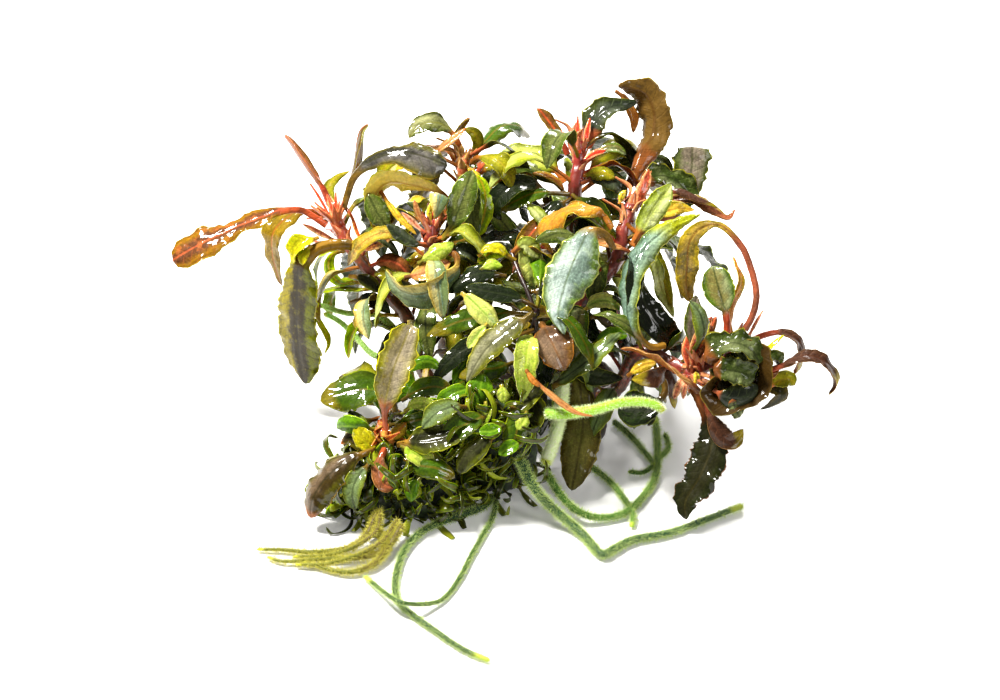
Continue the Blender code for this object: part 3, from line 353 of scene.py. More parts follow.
def add_node(tree, kind, inputs=None, **settings):
    """A new node with its settings made and its inputs fed, by name or by number."""
    node = tree.nodes.new(kind)
    for setting, value in settings.items():
        setattr(node, setting, value)
    for key, value in (inputs or {}).items():
        if value is not None:
            feed(tree, node.inputs[key], value)
    return node


class Flow:
    """A number on its way through a tree. Sums of flows are Math nodes."""

    def __init__(self, tree, socket):
        self.tree = tree
        self.socket = socket

    def math(self, operation, *others):
        node = add_node(self.tree, "ShaderNodeMath", dict(enumerate((self, *others))), operation=operation)
        return Flow(self.tree, node.outputs[0])

    def __add__(self, other):
        return self.math("ADD", other)

    def __sub__(self, other):
        return self.math("SUBTRACT", other)

    def __mul__(self, other):
        return self.math("MULTIPLY", other)

    def __truediv__(self, other):
        return self.math("DIVIDE", other)

    def __pow__(self, other):
        return self.math("POWER", other)

    def __abs__(self):
        return self.math("ABSOLUTE")

    def rest(self):
        """One minus this."""
        return self.math("MULTIPLY_ADD", -1.0, 1.0)

    def sine(self):
        return self.math("SINE")

    def above(self, limit):
        return self.math("GREATER_THAN", limit)

    def smooth(self, low, high, start=0.0, stop=1.0):
        """Rises smoothly from start to stop as this goes from low to high."""
        node = add_node(self.tree, "ShaderNodeMapRange", {
            "Value": self, "From Min": low, "From Max": high, "To Min": start, "To Max": stop},
            interpolation_type="SMOOTHSTEP")
        return Flow(self.tree, node.outputs["Result"])


def noise(tree, place, scale, detail=2.0, roughness=0.5, dimensions="3D", w=None):
    """A noise flow from 0 to 1, with features of about 1 / scale."""
    node = add_node(tree, "ShaderNodeTexNoise", {
        "Vector": place, "Scale": scale, "Detail": detail, "Roughness": roughness},
        noise_dimensions=dimensions)
    if w is not None:
        feed(tree, node.inputs["W"], w)
    return Flow(tree, node.outputs[0])


def new_tree(name, sizes):
    """A Geometry Nodes tree with a geometry input, a finish input and named sizes."""
    tree = bpy.data.node_groups.new(name, "GeometryNodeTree")
    tree.interface.new_socket(name="Geometry", in_out="OUTPUT", socket_type="NodeSocketGeometry")
    tree.interface.new_socket(name="Geometry", in_out="INPUT", socket_type="NodeSocketGeometry")
    tree.interface.new_socket(name="Finish", in_out="INPUT", socket_type="NodeSocketMaterial")
    for size, value in sizes.items():
        kind = "NodeSocketInt" if isinstance(value, int) else "NodeSocketFloat"
        tree.interface.new_socket(name=size, in_out="INPUT", socket_type=kind).default_value = value
    given = tree.nodes.new("NodeGroupInput")
    flows = {size: Flow(tree, given.outputs[size]) for size in sizes}
    return tree, given.outputs["Geometry"], given.outputs["Finish"], flows


def vector_math(tree, operation, first, second):
    """One step of arithmetic with arrows."""
    return add_node(tree, "ShaderNodeVectorMath", {0: first, 1: second}, operation=operation).outputs[0]


def scaled(tree, arrow, amount):
    """An arrow made longer, or a colour made lighter, by a flow."""
    return add_node(tree, "ShaderNodeVectorMath", {0: arrow, "Scale": amount}, operation="SCALE").outputs[0]


def combined(tree, x, y, z=None):
    """A place from its three parts."""
    return add_node(tree, "ShaderNodeCombineXYZ", {"X": x, "Y": y, "Z": z}).outputs[0]


def named(tree, name, kind="FLOAT"):
    """The value of a stored attribute."""
    node = add_node(tree, "GeometryNodeInputNamedAttribute", {"Name": name}, data_type=kind)
    return Flow(tree, node.outputs["Attribute"]) if kind == "FLOAT" else node.outputs["Attribute"]


def stored(tree, geometry, name, value, kind="FLOAT"):
    """Geometry with a value stored on its points under a name."""
    node = add_node(tree, "GeometryNodeStoreNamedAttribute", {
        "Geometry": geometry, "Name": name, "Value": value}, data_type=kind, domain="POINT")
    return node.outputs[0]


def finished(tree, geometry, finish):
    """Geometry with its finish set."""
    return add_node(tree, "GeometryNodeSetMaterial", {"Geometry": geometry, "Material": finish}).outputs[0]


def made_real(tree, geometry):
    """Geometry with its repeated shapes made real."""
    return add_node(tree, "GeometryNodeRealizeInstances", {"Geometry": geometry}).outputs[0]


def moved(tree, geometry, place):
    """Geometry with its points moved to a place."""
    return add_node(tree, "GeometryNodeSetPosition", {"Geometry": geometry, "Position": place}).outputs[0]


def with_height(tree, place, rule):
    """A place whose height is bent by a rule."""
    apart = add_node(tree, "ShaderNodeSeparateXYZ", {0: place})
    return combined(tree, apart.outputs[0], apart.outputs[1], rule(Flow(tree, apart.outputs[2])))


def swept_ring(tree, chain, sides):
    """A ring swept along a spine. Each point knows its place on the spine and its turn round the ring."""
    here = add_node(tree, "GeometryNodeInputPosition").outputs[0]
    spine = add_node(tree, "GeometryNodeMeshToCurve", {"Mesh": chain}).outputs[0]
    spine = stored(tree, spine, "spine", here, "FLOAT_VECTOR")
    ring = add_node(tree, "GeometryNodeCurvePrimitiveCircle", {"Resolution": sides}).outputs["Curve"]
    number = Flow(tree, add_node(tree, "GeometryNodeInputIndex").outputs[0])
    ring = stored(tree, ring, "turn", number / sides)
    return add_node(tree, "GeometryNodeCurveToMesh", {
        "Curve": spine, "Profile Curve": ring, "Fill Caps": True}).outputs[0]


def beside_spine(tree, sideways, upwards):
    """The place of a point from how far it lies to the side of the spine and towards its facing."""
    place = named(tree, "spine", "FLOAT_VECTOR")
    facing = named(tree, "facing", "FLOAT_VECTOR")
    side = vector_math(tree, "CROSS_PRODUCT", named(tree, "ahead", "FLOAT_VECTOR"), facing)
    for way, amount in ((side, sideways), (facing, upwards)):
        place = vector_math(tree, "ADD", place, scaled(tree, way, amount))
    return place


def scattered(tree, surface, density, seed, shape, tilt, sizes, chosen=None, pick=False):
    """Copies of a shape on a surface, turned to it, tipped at random, and of random sizes."""
    spots = add_node(tree, "GeometryNodeDistributePointsOnFaces", {
        "Mesh": surface, "Selection": chosen, "Density": density * PER_SQUARE_MM, "Seed": seed})
    lean = add_node(tree, "FunctionNodeRandomValue", {
        0: (-tilt, -tilt, 0.0), 1: (tilt, tilt, FULL_TURN), "Seed": 5}, data_type="FLOAT_VECTOR").outputs[0]
    leaning = add_node(tree, "FunctionNodeRotateRotation", {
        "Rotation": spots.outputs["Rotation"], "Rotate By": lean}, rotation_space="LOCAL").outputs[0]
    growth = add_node(tree, "FunctionNodeRandomValue", {
        2: sizes[0], 3: sizes[1], "Seed": 8}, data_type="FLOAT").outputs[1]
    return add_node(tree, "GeometryNodeInstanceOnPoints", {
        "Points": spots.outputs["Points"], "Instance": shape, "Pick Instance": pick,
        "Rotation": leaning, "Scale": growth}).outputs[0]


def hand_out(tree, *parts):
    """Ends a tree by joining its parts and handing them out."""
    whole = tree.nodes.new("GeometryNodeJoinGeometry")
    for part in parts:
        tree.links.new(part, whole.inputs[0])
    out = tree.nodes.new("NodeGroupOutput")
    tree.links.new(whole.outputs[0], out.inputs["Geometry"])


def spine_mesh(name, path, **fields):
    """A chain of points that carries a value or a direction for each point."""
    mesh = bpy.data.meshes.new(name)
    mesh.from_pydata(path, [(i, i + 1) for i in range(len(path) - 1)], [])
    for field, values in fields.items():
        is_way = hasattr(values[0], "__len__")
        layer = mesh.attributes.new(field, "FLOAT_VECTOR" if is_way else "FLOAT", "POINT")
        layer.data.foreach_set("vector" if is_way else "value", numpy.ravel(values))
    return mesh


def grown(name, tree, mesh, finish, **sizes):
    """A plain mesh object from what a tree grows out of a mesh."""
    piece = bpy.data.objects.new(name, mesh)
    scene.collection.objects.link(piece)
    modifier = piece.modifiers.new(tree.name, "NODES")
    modifier.node_group = tree
    for item in tree.interface.items_tree:
        if item.in_out == "INPUT" and item.name == "Finish":
            modifier[item.identifier] = finish
        elif item.in_out == "INPUT" and item.name.replace(" ", "_").lower() in sizes:
            modifier[item.identifier] = sizes[item.name.replace(" ", "_").lower()]
    result = bpy.data.meshes.new_from_object(piece.evaluated_get(bpy.context.evaluated_depsgraph_get()))
    piece.modifiers.remove(modifier)
    piece.data = result
    bpy.data.meshes.remove(mesh)
    result.name = name
    face_outwards(result)
    return piece


def face_outwards(mesh):
    """Turns a closed mesh right side out if its faces point inwards."""
    mesh.calc_loop_triangles()
    corners = numpy.empty(len(mesh.loop_triangles) * 3, dtype=numpy.int32)
    mesh.loop_triangles.foreach_get("vertices", corners)
    places = numpy.empty(len(mesh.vertices) * 3)
    mesh.vertices.foreach_get("co", places)
    a, b, c = places.reshape(-1, 3)[corners.reshape(-1, 3)].transpose(1, 0, 2)
    if numpy.einsum("ij,ij->", a, numpy.cross(b, c)) < 0.0:
        mesh.flip_normals()


def joined(name, pieces):
    """One object from several pieces, each part with its own finish."""
    with bpy.context.temp_override(active_object=pieces[0], selected_editable_objects=pieces):
        bpy.ops.object.join()
    pieces[0].name = name
    pieces[0].data.name = name
    return pieces[0]


def shown(piece, node, slot=None):
    """Puts a finished piece on the clump in the place of a solid."""
    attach(piece, "root")
    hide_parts(node)
    slot or frame_slots[node]


frame_slots = {part["node"]: part["material_slot"] for part in frame["record"]["subparts"]}
print("slots", sorted(set(frame_slots.values())))

# %% [markdown]
# ## One tree grows every leaf
#
# A leaf of this plant is a leathery blade on a short stalk: thick along the midrib, thin at a wavy
# margin, a little folded, with shallow side veins. Every leaf on the clump follows that one rule,
# so one Geometry Nodes tree makes them all. Python gives it a spine, which is a chain of points
# that knows its direction, its facing and the half widths to its left and right. The tree sweeps a
# ring of points along the spine and moves each one to its place on the blade. It also leaves four
# values on the mesh for the finishes: `across` from margin to margin, `reach` and `run` in
# millimetres from the midrib and from the stem, and `face`, which is 1 on the upper side.

# %% Leaf tree
LEAF_SIZES = {
    "Fold": 0.10, "Wave Height": 1.05, "Wave Rate": 0.28, "Ragged": 0.13, "Midrib": 0.12,
    "Veins": 0.06, "Vein Rate": 0.80, "Wrinkle": 0.14, "Buckle": 0.40, "Sides": 44, "Seed": 1.0,
}


def build_leaf_tree():
    """The tree that turns a spine into a closed leaf."""
    tree, given, finish, size = new_tree("leaf", LEAF_SIZES)
    skin = swept_ring(tree, given, size["Sides"])
    turn = named(tree, "turn")
    share = named(tree, "share")
    blade = named(tree, "blade")
    run = named(tree, "run")
    under = turn.above(0.5)
    steady = abs(turn * 2.0 - 1.0) * 2.0 - 1.0
    across = steady * 0.6 + (steady * (math.pi / 2.0)).sine() * 0.4
    rightward = across.above(0.0)
    half = named(tree, "left") * rightward.rest() + named(tree, "right") * rightward
    crown = (across * across).rest().math("MAXIMUM", 0.0) ** 0.5
    outward = under * -2.0 + 1.0
    reach = across * half / MM

    flat_place = combined(tree, run, reach, size["Seed"] * 7.3)
    margin_place = run * size["Wave Rate"] + size["Seed"] * 3.7 + rightward * 40.0
    ragged = noise(tree, None, 3.0, 3.0, 0.65, "1D", margin_place) - 0.5
    ragged = ragged * size["Ragged"] * (abs(across) ** 4.0) * 3.0 + 1.0
    wave = (noise(tree, None, 1.0, 2.0, 0.45, "1D", margin_place) - 0.5) * 2.4
    wave = wave * (abs(across) ** 1.8) * size["Wave Height"] * (half / (1.6 * MM)).math("MINIMUM", 1.2) * MM
    fold = across * across * half * size["Fold"]
    rib = (abs(reach).smooth(0.0, 0.42, 1.0, 0.0)) * size["Midrib"] * -MM
    lane = run * size["Vein Rate"] - abs(reach) * 0.55 + size["Seed"] * 0.37
    lanes = lane.math("PINGPONG", 0.5) * 2.0
    veins = lanes.smooth(0.55, 1.0) * abs(across).smooth(0.05, 0.3) * abs(across).smooth(0.8, 1.0, 1.0, 0.0)
    veins = veins * size["Veins"] * -MM
    pleat_place = combined(tree, run * 0.45, reach * 1.6, size["Seed"] * 5.1)
    wrinkle = (noise(tree, pleat_place, 1.0, 3.0, 0.55) - 0.5) * size["Wrinkle"] * (2.0 * MM)
    buckle = (noise(tree, flat_place, 0.28, 1.0, 0.5) - 0.5) * size["Buckle"] * (2.0 * MM)
    lift = (fold + wave + rib + veins + wrinkle + buckle * abs(across)) * blade
    body = outward * crown * named(tree, "thick") * (abs(across) * -0.35 + 1.0)

    place = beside_spine(tree, across * half * ragged, lift + body)
    face = outward * crown * 0.5 + 0.5
    for name, value in (("across", across), ("reach", reach), ("lane", lane), ("face", face)):
        skin = stored(tree, skin, name, value)
    skin = moved(tree, skin, place)
    skin = add_node(tree, "GeometryNodeSetShadeSmooth", {"Geometry": skin}).outputs[0]
    hand_out(tree, finished(tree, skin, finish))
    return tree


leaf_tree = build_leaf_tree()
print("leaf tree nodes", len(leaf_tree.nodes))

# %% [markdown]
# ## The outline of a leaf
#
# Most blades widen quickly above the stalk, are widest a little past the middle and close in a
# short point. `half_width` is that rule, the same as in the solids. A leaf that the photograph
# shows with its own outline, such as a curled or torn one, is given its half widths one by one.

# %% Leaf maker
LEAF_FULLNESS = 1.5
STALK_WIDTH = 0.9
SMALL_STALK_WIDTH = 0.7
TIP_WIDTH = 0.3
TIP_ROUNDING = 0.35
LEAF_THICKNESS = 0.46
STATION = 0.3
FEWEST_STATIONS = 24


def half_width(share, width, stalk_share, widest, stalk_width):
    """Half the width of a leaf at a share of its length, in millimetres."""
    stalk = stalk_width / 2.0
    blade = max(share - stalk_share, 0.0) / (1.0 - stalk_share)
    peak = (widest - stalk_share) / (1.0 - stalk_share)
    rise = (blade / peak) ** (LEAF_FULLNESS * peak)
    fall = (max(1.0 - blade, 0.0) / (1.0 - peak)) ** (LEAF_FULLNESS * (1.0 - peak))
    return max(stalk * (1.0 - blade), width / 2.0 * rise * fall)


def ease(value, low, high):
    """Rises smoothly from 0 to 1 as a value goes from low to high."""
    share = min(max((value - low) / (high - low), 0.0), 1.0)
    return share * share * (3.0 - 2.0 * share)


def make_leaf(name, route, facing, width, stalk_share, widest, finish, turns=(0.0, 0.0),
              stalk_width=STALK_WIDTH, outline=None, thickness=LEAF_THICKNESS, spacing=STATION, **sizes):
    """One leaf along a route as a plain mesh object, with the leaf tree's sizes by name."""
    path = smooth_path(route, spacing, FEWEST_STATIONS)
    ways, normals = carried_normals(path, facing, *turns)
    last = len(path) - 1
    length = sum((b - a).length for a, b in zip(path, path[1:]))
    shares = [i / last for i in range(last + 1)]
    if outline:
        stations, *sides = zip(*outline)
        sides = [numpy.pad(numpy.interp(shares, stations, side), 2, "edge") for side in sides]
        left, right = [numpy.convolve(side, numpy.ones(5) / 5.0, "valid") for side in sides]
    else:
        left = right = [half_width(s, width, stalk_share, widest, stalk_width) for s in shares]
    short = [1.0 - min((1.0 - s) * length / MM / TIP_ROUNDING, 1.0) for s in shares]
    ends = [min(1.0, math.sqrt(max(0.0, 1.0 - s ** 2)) + 0.05) for s in short]
    blade = [ease(s, stalk_share * 0.7, stalk_share + 0.22 * (1.0 - stalk_share)) for s in shares]
    left = numpy.maximum(left, TIP_WIDTH / 2.0) * ends * MM
    right = numpy.maximum(right, TIP_WIDTH / 2.0) * ends * MM
    round_stalk = numpy.minimum(left, right)
    flat = numpy.minimum(round_stalk, thickness / 2.0 * MM)
    thick = round_stalk * (1.0 - numpy.array(blade)) + flat * numpy.array(blade)
    spine = spine_mesh(name, path, ahead=ways, facing=normals, share=shares, blade=blade,
                       run=[s * length / MM for s in shares], left=left, right=right, thick=thick)
    sizes.setdefault("seed", (len(bpy.data.meshes) * 0.61) % 9.0)
    return grown(name, leaf_tree, spine, finish, **sizes)


middle_width = half_width(0.5, 4.0, 0.2, 0.6, STALK_WIDTH) * 2.0
print("a leaf 4 mm wide is", round(middle_width, 2), "mm wide at mid-length")

# %% [markdown]
# ## How a leaf is coloured
#
# These leaves are never one green. The blade has one colour along its middle and another towards
# its margin, a thin pale rim, a coloured midrib, and a stalk whose red or pink runs into the
# blade. Over that lie fine side veins, a pebbly grain and small light specks. The finish reads
# the values that the leaf tree left on the mesh, so the pattern follows every bend. A thin clear
# coat over a rougher blade gives the wet look: the coat stays smooth while the grain below is bumpy.

# %% Leaf finish


def shade(red, green, blue):
    """A colour as a screen shows it, from 0 to 255, made linear."""
    return tuple(((v / 255.0 + 0.055) / 1.055) ** 2.4 if v > 10 else v / 255.0 / 12.92
                 for v in (red, green, blue)) + (1.0,)


def rich(colour):
    """A colour with more of its hue and less blue, to make up for the grey light that a wet film adds."""
    grey = sum(colour) / 3.0
    return tuple(min(255, max(2, round((grey + (value - grey) * 1.16) * warmth - 1)))
                 for value, warmth in zip(colour, (1.04, 1.04, 0.90)))


def tint(tree, share, first, second):
    """A colour between two: the first where share is 0, the second where it is 1."""
    node = add_node(tree, "ShaderNodeMix", data_type="RGBA")
    feed(tree, node.inputs[0], share)
    for socket, colour in ((node.inputs[6], first), (node.inputs[7], second)):
        feed(tree, socket, shade(*colour) if isinstance(colour, tuple) else colour)
    return node.outputs[2]


def painted(tree, name):
    """The value of an attribute on the mesh, in a finish."""
    return Flow(tree, add_node(tree, "ShaderNodeAttribute", attribute_name=name).outputs["Fac"])


def cells(tree, place, scale):
    """The distance to the middle of the nearest cell, from 0 to about 0.8."""
    node = add_node(tree, "ShaderNodeTexVoronoi", {"Vector": place, "Scale": scale}, feature="F1")
    return Flow(tree, node.outputs["Distance"])


def new_finish(name, roughness=0.4, coat=0.0, coat_roughness=0.1, specular=0.5, specular_tint=None,
               subsurface=0.0):
    """A new finish with its constant values set, its tree, its shader and the object's coordinates."""
    material = bpy.data.materials.new(name)
    material.use_nodes = True
    tree = material.node_tree
    shader = tree.nodes["Principled BSDF"]
    shader.inputs["Roughness"].default_value = roughness
    shader.inputs["Coat Weight"].default_value = coat
    shader.inputs["Coat Roughness"].default_value = coat_roughness
    shader.inputs["Specular IOR Level"].default_value = specular
    shader.inputs["Subsurface Weight"].default_value = subsurface
    shader.inputs["Subsurface Radius"].default_value = (0.6, 1.0, 0.3)
    shader.inputs["Subsurface Scale"].default_value = 0.0006
    if specular_tint:
        shader.inputs["Specular Tint"].default_value = shade(*specular_tint)
    place = add_node(tree, "ShaderNodeTexCoord").outputs["Object"]
    return material, tree, shader, place


def bumped(tree, shader, height, depth, socket="Normal"):
    """Gives the shader, or its clear coat, a bump from a height flow, at a depth in millimetres."""
    bump = add_node(tree, "ShaderNodeBump", {"Height": height, "Distance": depth * MM, "Strength": 1.0})
    feed(tree, shader.inputs[socket], bump.outputs[0])


def leaf_finish(name, middle, edge, rim, stalk, under, tip=None, rib=None, vein=None, patch=None,
                left=None, bloom=None, zone=(0.35, 0.85), rim_from=0.88, tip_from=0.9, specks=0.35,
                grain=0.07, roughness=0.5, coat=0.37, coat_roughness=0.08, sheen=(255, 250, 236),
                subsurface=0.0, contrast=1.15):
    """The finish of a leaf from the colours of its parts."""
    stalk = tuple(v * 0.68 + brown * 0.32 for v, brown in zip(stalk, (112, 76, 46)))
    middle, edge, rim, stalk, under, tip, rib, vein, patch, left, bloom = (
        colour and rich(colour)
        for colour in (middle, edge, rim, stalk, under, tip, rib, vein, patch, left, bloom))
    material, tree, shader, place = new_finish(name, roughness, coat, coat_roughness, 0.06, sheen, subsurface)
    side = painted(tree, "across")
    across = abs(side)
    sideways = painted(tree, "reach")
    reach = abs(sideways)
    share = painted(tree, "share")
    broad = noise(tree, place, 330.0, 2.0, 0.6) - 0.5
    fine = noise(tree, place, 1700.0, 4.0, 0.65) - 0.5
    pebbles = cells(tree, place, 3600.0)
    grain_place = combined(tree, painted(tree, "run") * 0.35, sideways * 2.6)
    streaks = noise(tree, grain_place, 1.0, 4.0, 0.65) - 0.5
    lanes = (painted(tree, "lane") + broad * 0.25).math("PINGPONG", 0.5) * 2.0
    lines = lanes.smooth(0.78, 0.98) * across.smooth(0.04, 0.2)

    margin = edge if left is None else tint(tree, side.smooth(-0.15, 0.15), left, edge)
    zones = (across + broad * 0.9 + fine * 0.5).smooth(*zone)
    colour = tint(tree, zones, middle, margin)
    if patch:
        spots = (noise(tree, place, 700.0, 3.0, 0.65) + broad * 0.3).smooth(0.52, 0.68)
        colour = tint(tree, spots * 0.75, colour, patch)
    # Painted sheen: a soft silvery highlight painted into the colour over the middle of the blade, stronger
    # on one side
    if bloom:
        painted_sheen_mask = (broad * 2.2 + side * 0.6 + 0.45).smooth(0.15, 0.75) * across.smooth(0.55, 0.95, 1.0, 0.0)
        colour = tint(tree, painted_sheen_mask * share.smooth(0.2, 0.4) * 0.6, colour, bloom)
    if vein:
        colour = tint(tree, lines * 0.25, colour, vein)
    colour = tint(tree, reach.smooth(0.05, 0.22, 0.6, 0.0), colour, rib or stalk)
    if tip:
        colour = tint(tree, (share + broad * 0.15 + across * 0.05).smooth(tip_from - 0.06, tip_from + 0.06),
                      colour, tip)
    colour = scaled(tree, colour, streaks * (1.1 * contrast) + pebbles * (-0.4 * contrast)
                    + fine * (0.6 * contrast) + broad * 0.5 + (1.0 + 0.17 * contrast))
    colour = scaled(tree, colour, (across + fine * 0.2).smooth(rim_from - 0.16, rim_from - 0.02, 1.0, 0.72))
    colour = tint(tree, (across + broad * 0.14 + streaks * 0.1).smooth(rim_from + 0.03, rim_from + 0.1) * 0.8,
                  colour, rim)
    dots = pebbles.smooth(0.08, 0.28, specks, 0.0) * (fine + 0.5).smooth(0.42, 0.6)
    colour = tint(tree, dots, colour, tuple(min(255, int(v * 1.4 + 16)) for v in middle))
    shadow = tint(tree, fine * 1.6 + 0.5, tuple(int(v * 0.72) for v in under), under)
    shadow = tint(tree, reach.smooth(0.1, 0.35, 0.6, 0.0), shadow, rib or stalk)
    colour = tint(tree, painted(tree, "face").smooth(0.3, 0.5), shadow, colour)
    dry_stalk = tuple(int(v * w) for v, w in zip(stalk, (0.62, 0.66, 0.6)))
    aged = tint(tree, (broad + streaks * 0.6).smooth(-0.12, 0.22), stalk, dry_stalk)
    colour = tint(tree, (painted(tree, "blade") + broad * 0.4).smooth(0.1, 0.75, 1.0, 0.0), colour, aged)
    feed(tree, shader.inputs["Base Color"], colour)
    bumped(tree, shader, pebbles * 0.5 + fine * 0.8 + streaks - lines * 0.4, grain)
    film = noise(tree, grain_place, 0.55, 1.0, 0.4)
    bumped(tree, shader, film * 1.5 + broad, 0.06, "Coat Normal")
    return material


print("leaf finish ready")

# %% [markdown]
# ## The colours on this clump
#
# Each recipe below is one look in the photograph: bronze and pink young leaves on the left, slate
# and blue-green ones with a silvery sheen painted into their colour as a soft highlight, black-green
# glossy ones in the shade, tan and mustard old ones. The colours are chosen for the blade under the
# wet film, so they are a little deeper than they look in the picture, where the film adds the light
# of the lamps.

# %% Leaf recipes
# Looks: the colours of the blade's middle, edge and rim, of the stalk and of the underside, from 0
# to 255, and then what differs from the usual
COLOUR_ORDER = ("middle", "edge", "rim", "stalk", "under")
# Some looks carry a painted sheen: the colour of a soft silvery highlight painted into the blade
LEAF_LOOKS = """
bronze: 82 50 30, 120 86 12, 170 152 30, 200 84 62, 150 84 44, rib 180 92 64, vein 160 92 56,
 patch 140 82 46, zone .3 .75, coat .4
olive_strap: 112 92 26, 128 108 30, 160 142 48, 150 78 36, 84 62 22, specks .5
rust: 122 72 44, 96 66 30, 176 116 74, 176 58 44, 150 90 62, rib 206 104 80
brown_upright: 108 84 46, 84 74 30, 150 138 50, 176 76 46, 84 66 34, tip 170 180 30, tip_from .86
silver: 38 37 33, 92 84 24, 150 128 46, 112 92 40, 46 44 12, rib 44 44 22, vein 54 56 34, patch 78 80 48,
 roughness .32, coat .6, bloom 106 102 110
hanging: 46 38 16, 130 120 8, 184 180 40, 124 98 24, 90 80 18, left 96 100 8, rib 34 30 14, vein 38 38 12,
 patch 104 98 30, zone .28 .6, coat .5
mustard: 210 178 84, 176 148 48, 200 184 84, 180 112 46, 232 206 112, rib 146 104 40, specks .5,
 patch 150 126 40, subsurface .3
speckled: 84 90 52, 62 78 22, 160 172 90, 124 118 40, 56 64 20, rib 26 38 12, vein 98 116 62, specks .8,
 contrast 1.4
lime: 104 124 8, 158 178 22, 208 214 80, 190 156 50, 134 152 24, subsurface .3
smile: 98 120 114, 206 176 96, 206 194 116, 172 112 62, 120 100 42, left 92 106 76, rib 110 100 50,
 vein 94 104 70, zone .1 .35, specks .6, bloom 150 162 146
curled_top: 92 94 62, 52 62 14, 132 124 40, 196 108 50, 104 54 22, rib 92 90 34, bloom 160 160 132
olive_arch: 124 120 26, 98 98 16, 166 158 44, 172 98 40, 96 80 36, rib 136 118 40
pale_broad: 124 130 36, 92 100 16, 186 184 70, 190 110 56, 108 110 30, tip 150 160 104, tip_from .8,
 rib 156 144 56, bloom 170 176 110
red_brown: 92 60 30, 96 76 14, 156 118 36, 150 50 36, 112 54 26, rib 176 76 48
slate: 30 35 29, 48 56 24, 138 136 70, 172 88 66, 62 64 26, rib 34 42 26, vein 94 104 76, contrast 1.3,
 bloom 72 78 70
hooked: 74 58 26, 108 92 20, 156 134 36, 126 72 40, 104 80 42, rib 72 48 22, tip 200 110 30, patch 72 62 14,
 tip_from .94, zone .4 .9, contrast 1.4
violet: 92 84 80, 60 70 16, 140 140 44, 150 84 48, 58 66 20, rib 50 52 30, patch 58 72 22, contrast 1.3,
 bloom 122 112 112
pale_ellipse: 150 162 90, 104 116 30, 186 188 80, 184 112 60, 108 116 36, rib 120 126 56, specks .5,
 bloom 196 200 166
golden: 168 118 58, 150 108 36, 218 190 90, 180 120 56, 200 150 80, rib 170 112 56, patch 150 128 30,
 specks .5, subsurface .3
blue_green: 108 124 128, 88 108 48, 200 202 120, 150 120 60, 92 102 48, rib 60 76 40, specks .5,
 patch 132 150 124, roughness .34, coat .6, contrast 1.3, bloom 182 194 212
long_slate: 100 120 120, 84 96 36, 190 188 88, 154 118 46, 134 104 40, left 64 86 66, rib 36 50 34,
 vein 94 110 82, specks .7, tip 146 150 34, tip_from .78, contrast 1.4, bloom 140 158 150
black_glossy: 16 24 9, 20 30 8, 98 104 34, 84 68 24, 28 34 10, rib 30 38 16, specks .1, roughness .45,
 coat .8, coat_roughness .04, contrast .5
tan_bend: 164 138 74, 150 130 40, 190 168 62, 150 80 70, 120 92 36, rib 116 76 36, patch 92 88 50, specks .4
green_right: 104 98 62, 66 88 18, 152 158 60, 194 70 54, 60 78 20, rib 34 50 24, vein 96 118 80,
 contrast 1.3, bloom 132 140 118
tan_thin: 172 132 96, 150 108 70, 200 160 116, 150 84 64, 164 104 60, rib 150 80 48
rolled: 42 38 14, 66 56 18, 128 108 40, 150 76 46, 60 44 18, rib 26 30 14, vein 74 78 42, specks .7,
 grain .09, contrast 1.4
mauve: 60 38 31, 64 42 28, 140 102 60, 150 62 54, 84 52 34, rib 66 40 30, vein 110 76 62, tip 132 118 36,
 tip_from .86
dark_hanging: 30 30 12, 26 30 8, 132 80 26, 110 58 34, 40 36 12, rib 48 44 20, specks .3, rim_from .92,
 coat .6
pale_olive: 104 96 80, 112 108 26, 184 178 44, 190 92 66, 112 108 36, rib 100 92 40, patch 112 100 40,
 coat .5, contrast 1.2, bloom 148 138 134
pink_leaf: 134 86 66, 120 78 50, 186 140 90, 164 72 52, 134 82 58, left 134 118 70, rib 160 90 66
glossy_green: 54 76 12, 62 78 8, 128 138 34, 92 82 20, 50 62 12, tip 98 90 16, tip_from .84, specks .15,
 coat .9, coat_roughness .06, roughness .36
low_olive: 48 38 14, 66 64 12, 140 112 30, 112 90 34, 66 50 20, tip 156 90 28, tip_from .96, rib 34 32 14,
 coat .7, roughness .36, bloom 110 94 86
grey_olive: 28 30 14, 84 90 20, 174 178 50, 174 140 60, 72 76 24, rib 44 48 26, vein 76 80 46,
 bloom 54 54 36
grey_glossy: 92 92 70, 96 98 20, 168 160 56, 104 92 34, 54 56 20, rib 42 44 24, patch 66 70 26, coat .7,
 bloom 150 148 136
mauve_broad: 88 67 58, 94 66 30, 168 108 44, 164 108 66, 92 58 34, rib 96 64 40, patch 96 74 48, coat .5,
 bloom 124 106 98
striped: 98 112 84, 90 102 40, 136 138 40, 92 80 26, 42 46 14, vein 96 98 46, rib 20 26 10, specks .3
grey_strap: 88 84 46, 68 60 22, 120 108 40, 134 144 44, 66 54 24, rib 54 46 26, vein 104 92 60, specks .5,
 coat .4
baby_green: 66 98 16, 88 124 16, 160 184 50, 120 130 40, 70 98 20, rib 110 140 40, specks .2, subsurface .1
yellow_leaf: 152 146 24, 168 158 28, 200 190 80, 190 150 50, 170 150 30, rib 150 140 30, patch 130 140 20,
 subsurface .3
pale_lime: 160 170 92, 160 174 78, 208 208 136, 170 170 70, 150 170 50, rib 130 150 50, patch 120 150 30,
 subsurface .3
peach_leaf: 184 140 104, 190 150 80, 214 180 110, 160 104 80, 180 120 80, patch 200 120 90, subsurface .3
orange_leaf: 176 118 62, 170 108 44, 196 146 84, 160 104 60, 180 110 50, patch 150 84 30
crinkled: 48 60 24, 44 54 14, 124 118 40, 120 70 40, 60 52 20, rib 30 36 14, patch 96 104 70,
 bloom 110 116 90, specks .6, grain .1
cream: 172 182 112, 196 198 124, 226 220 140, 196 180 90, 190 190 96, rib 96 130 40, specks .2,
 subsurface .3
"""
leaf_finishes = {name: leaf_finish(name + "_leaf", **look)
                 for name, look in settings_of(LEAF_LOOKS, COLOUR_ORDER).items()}
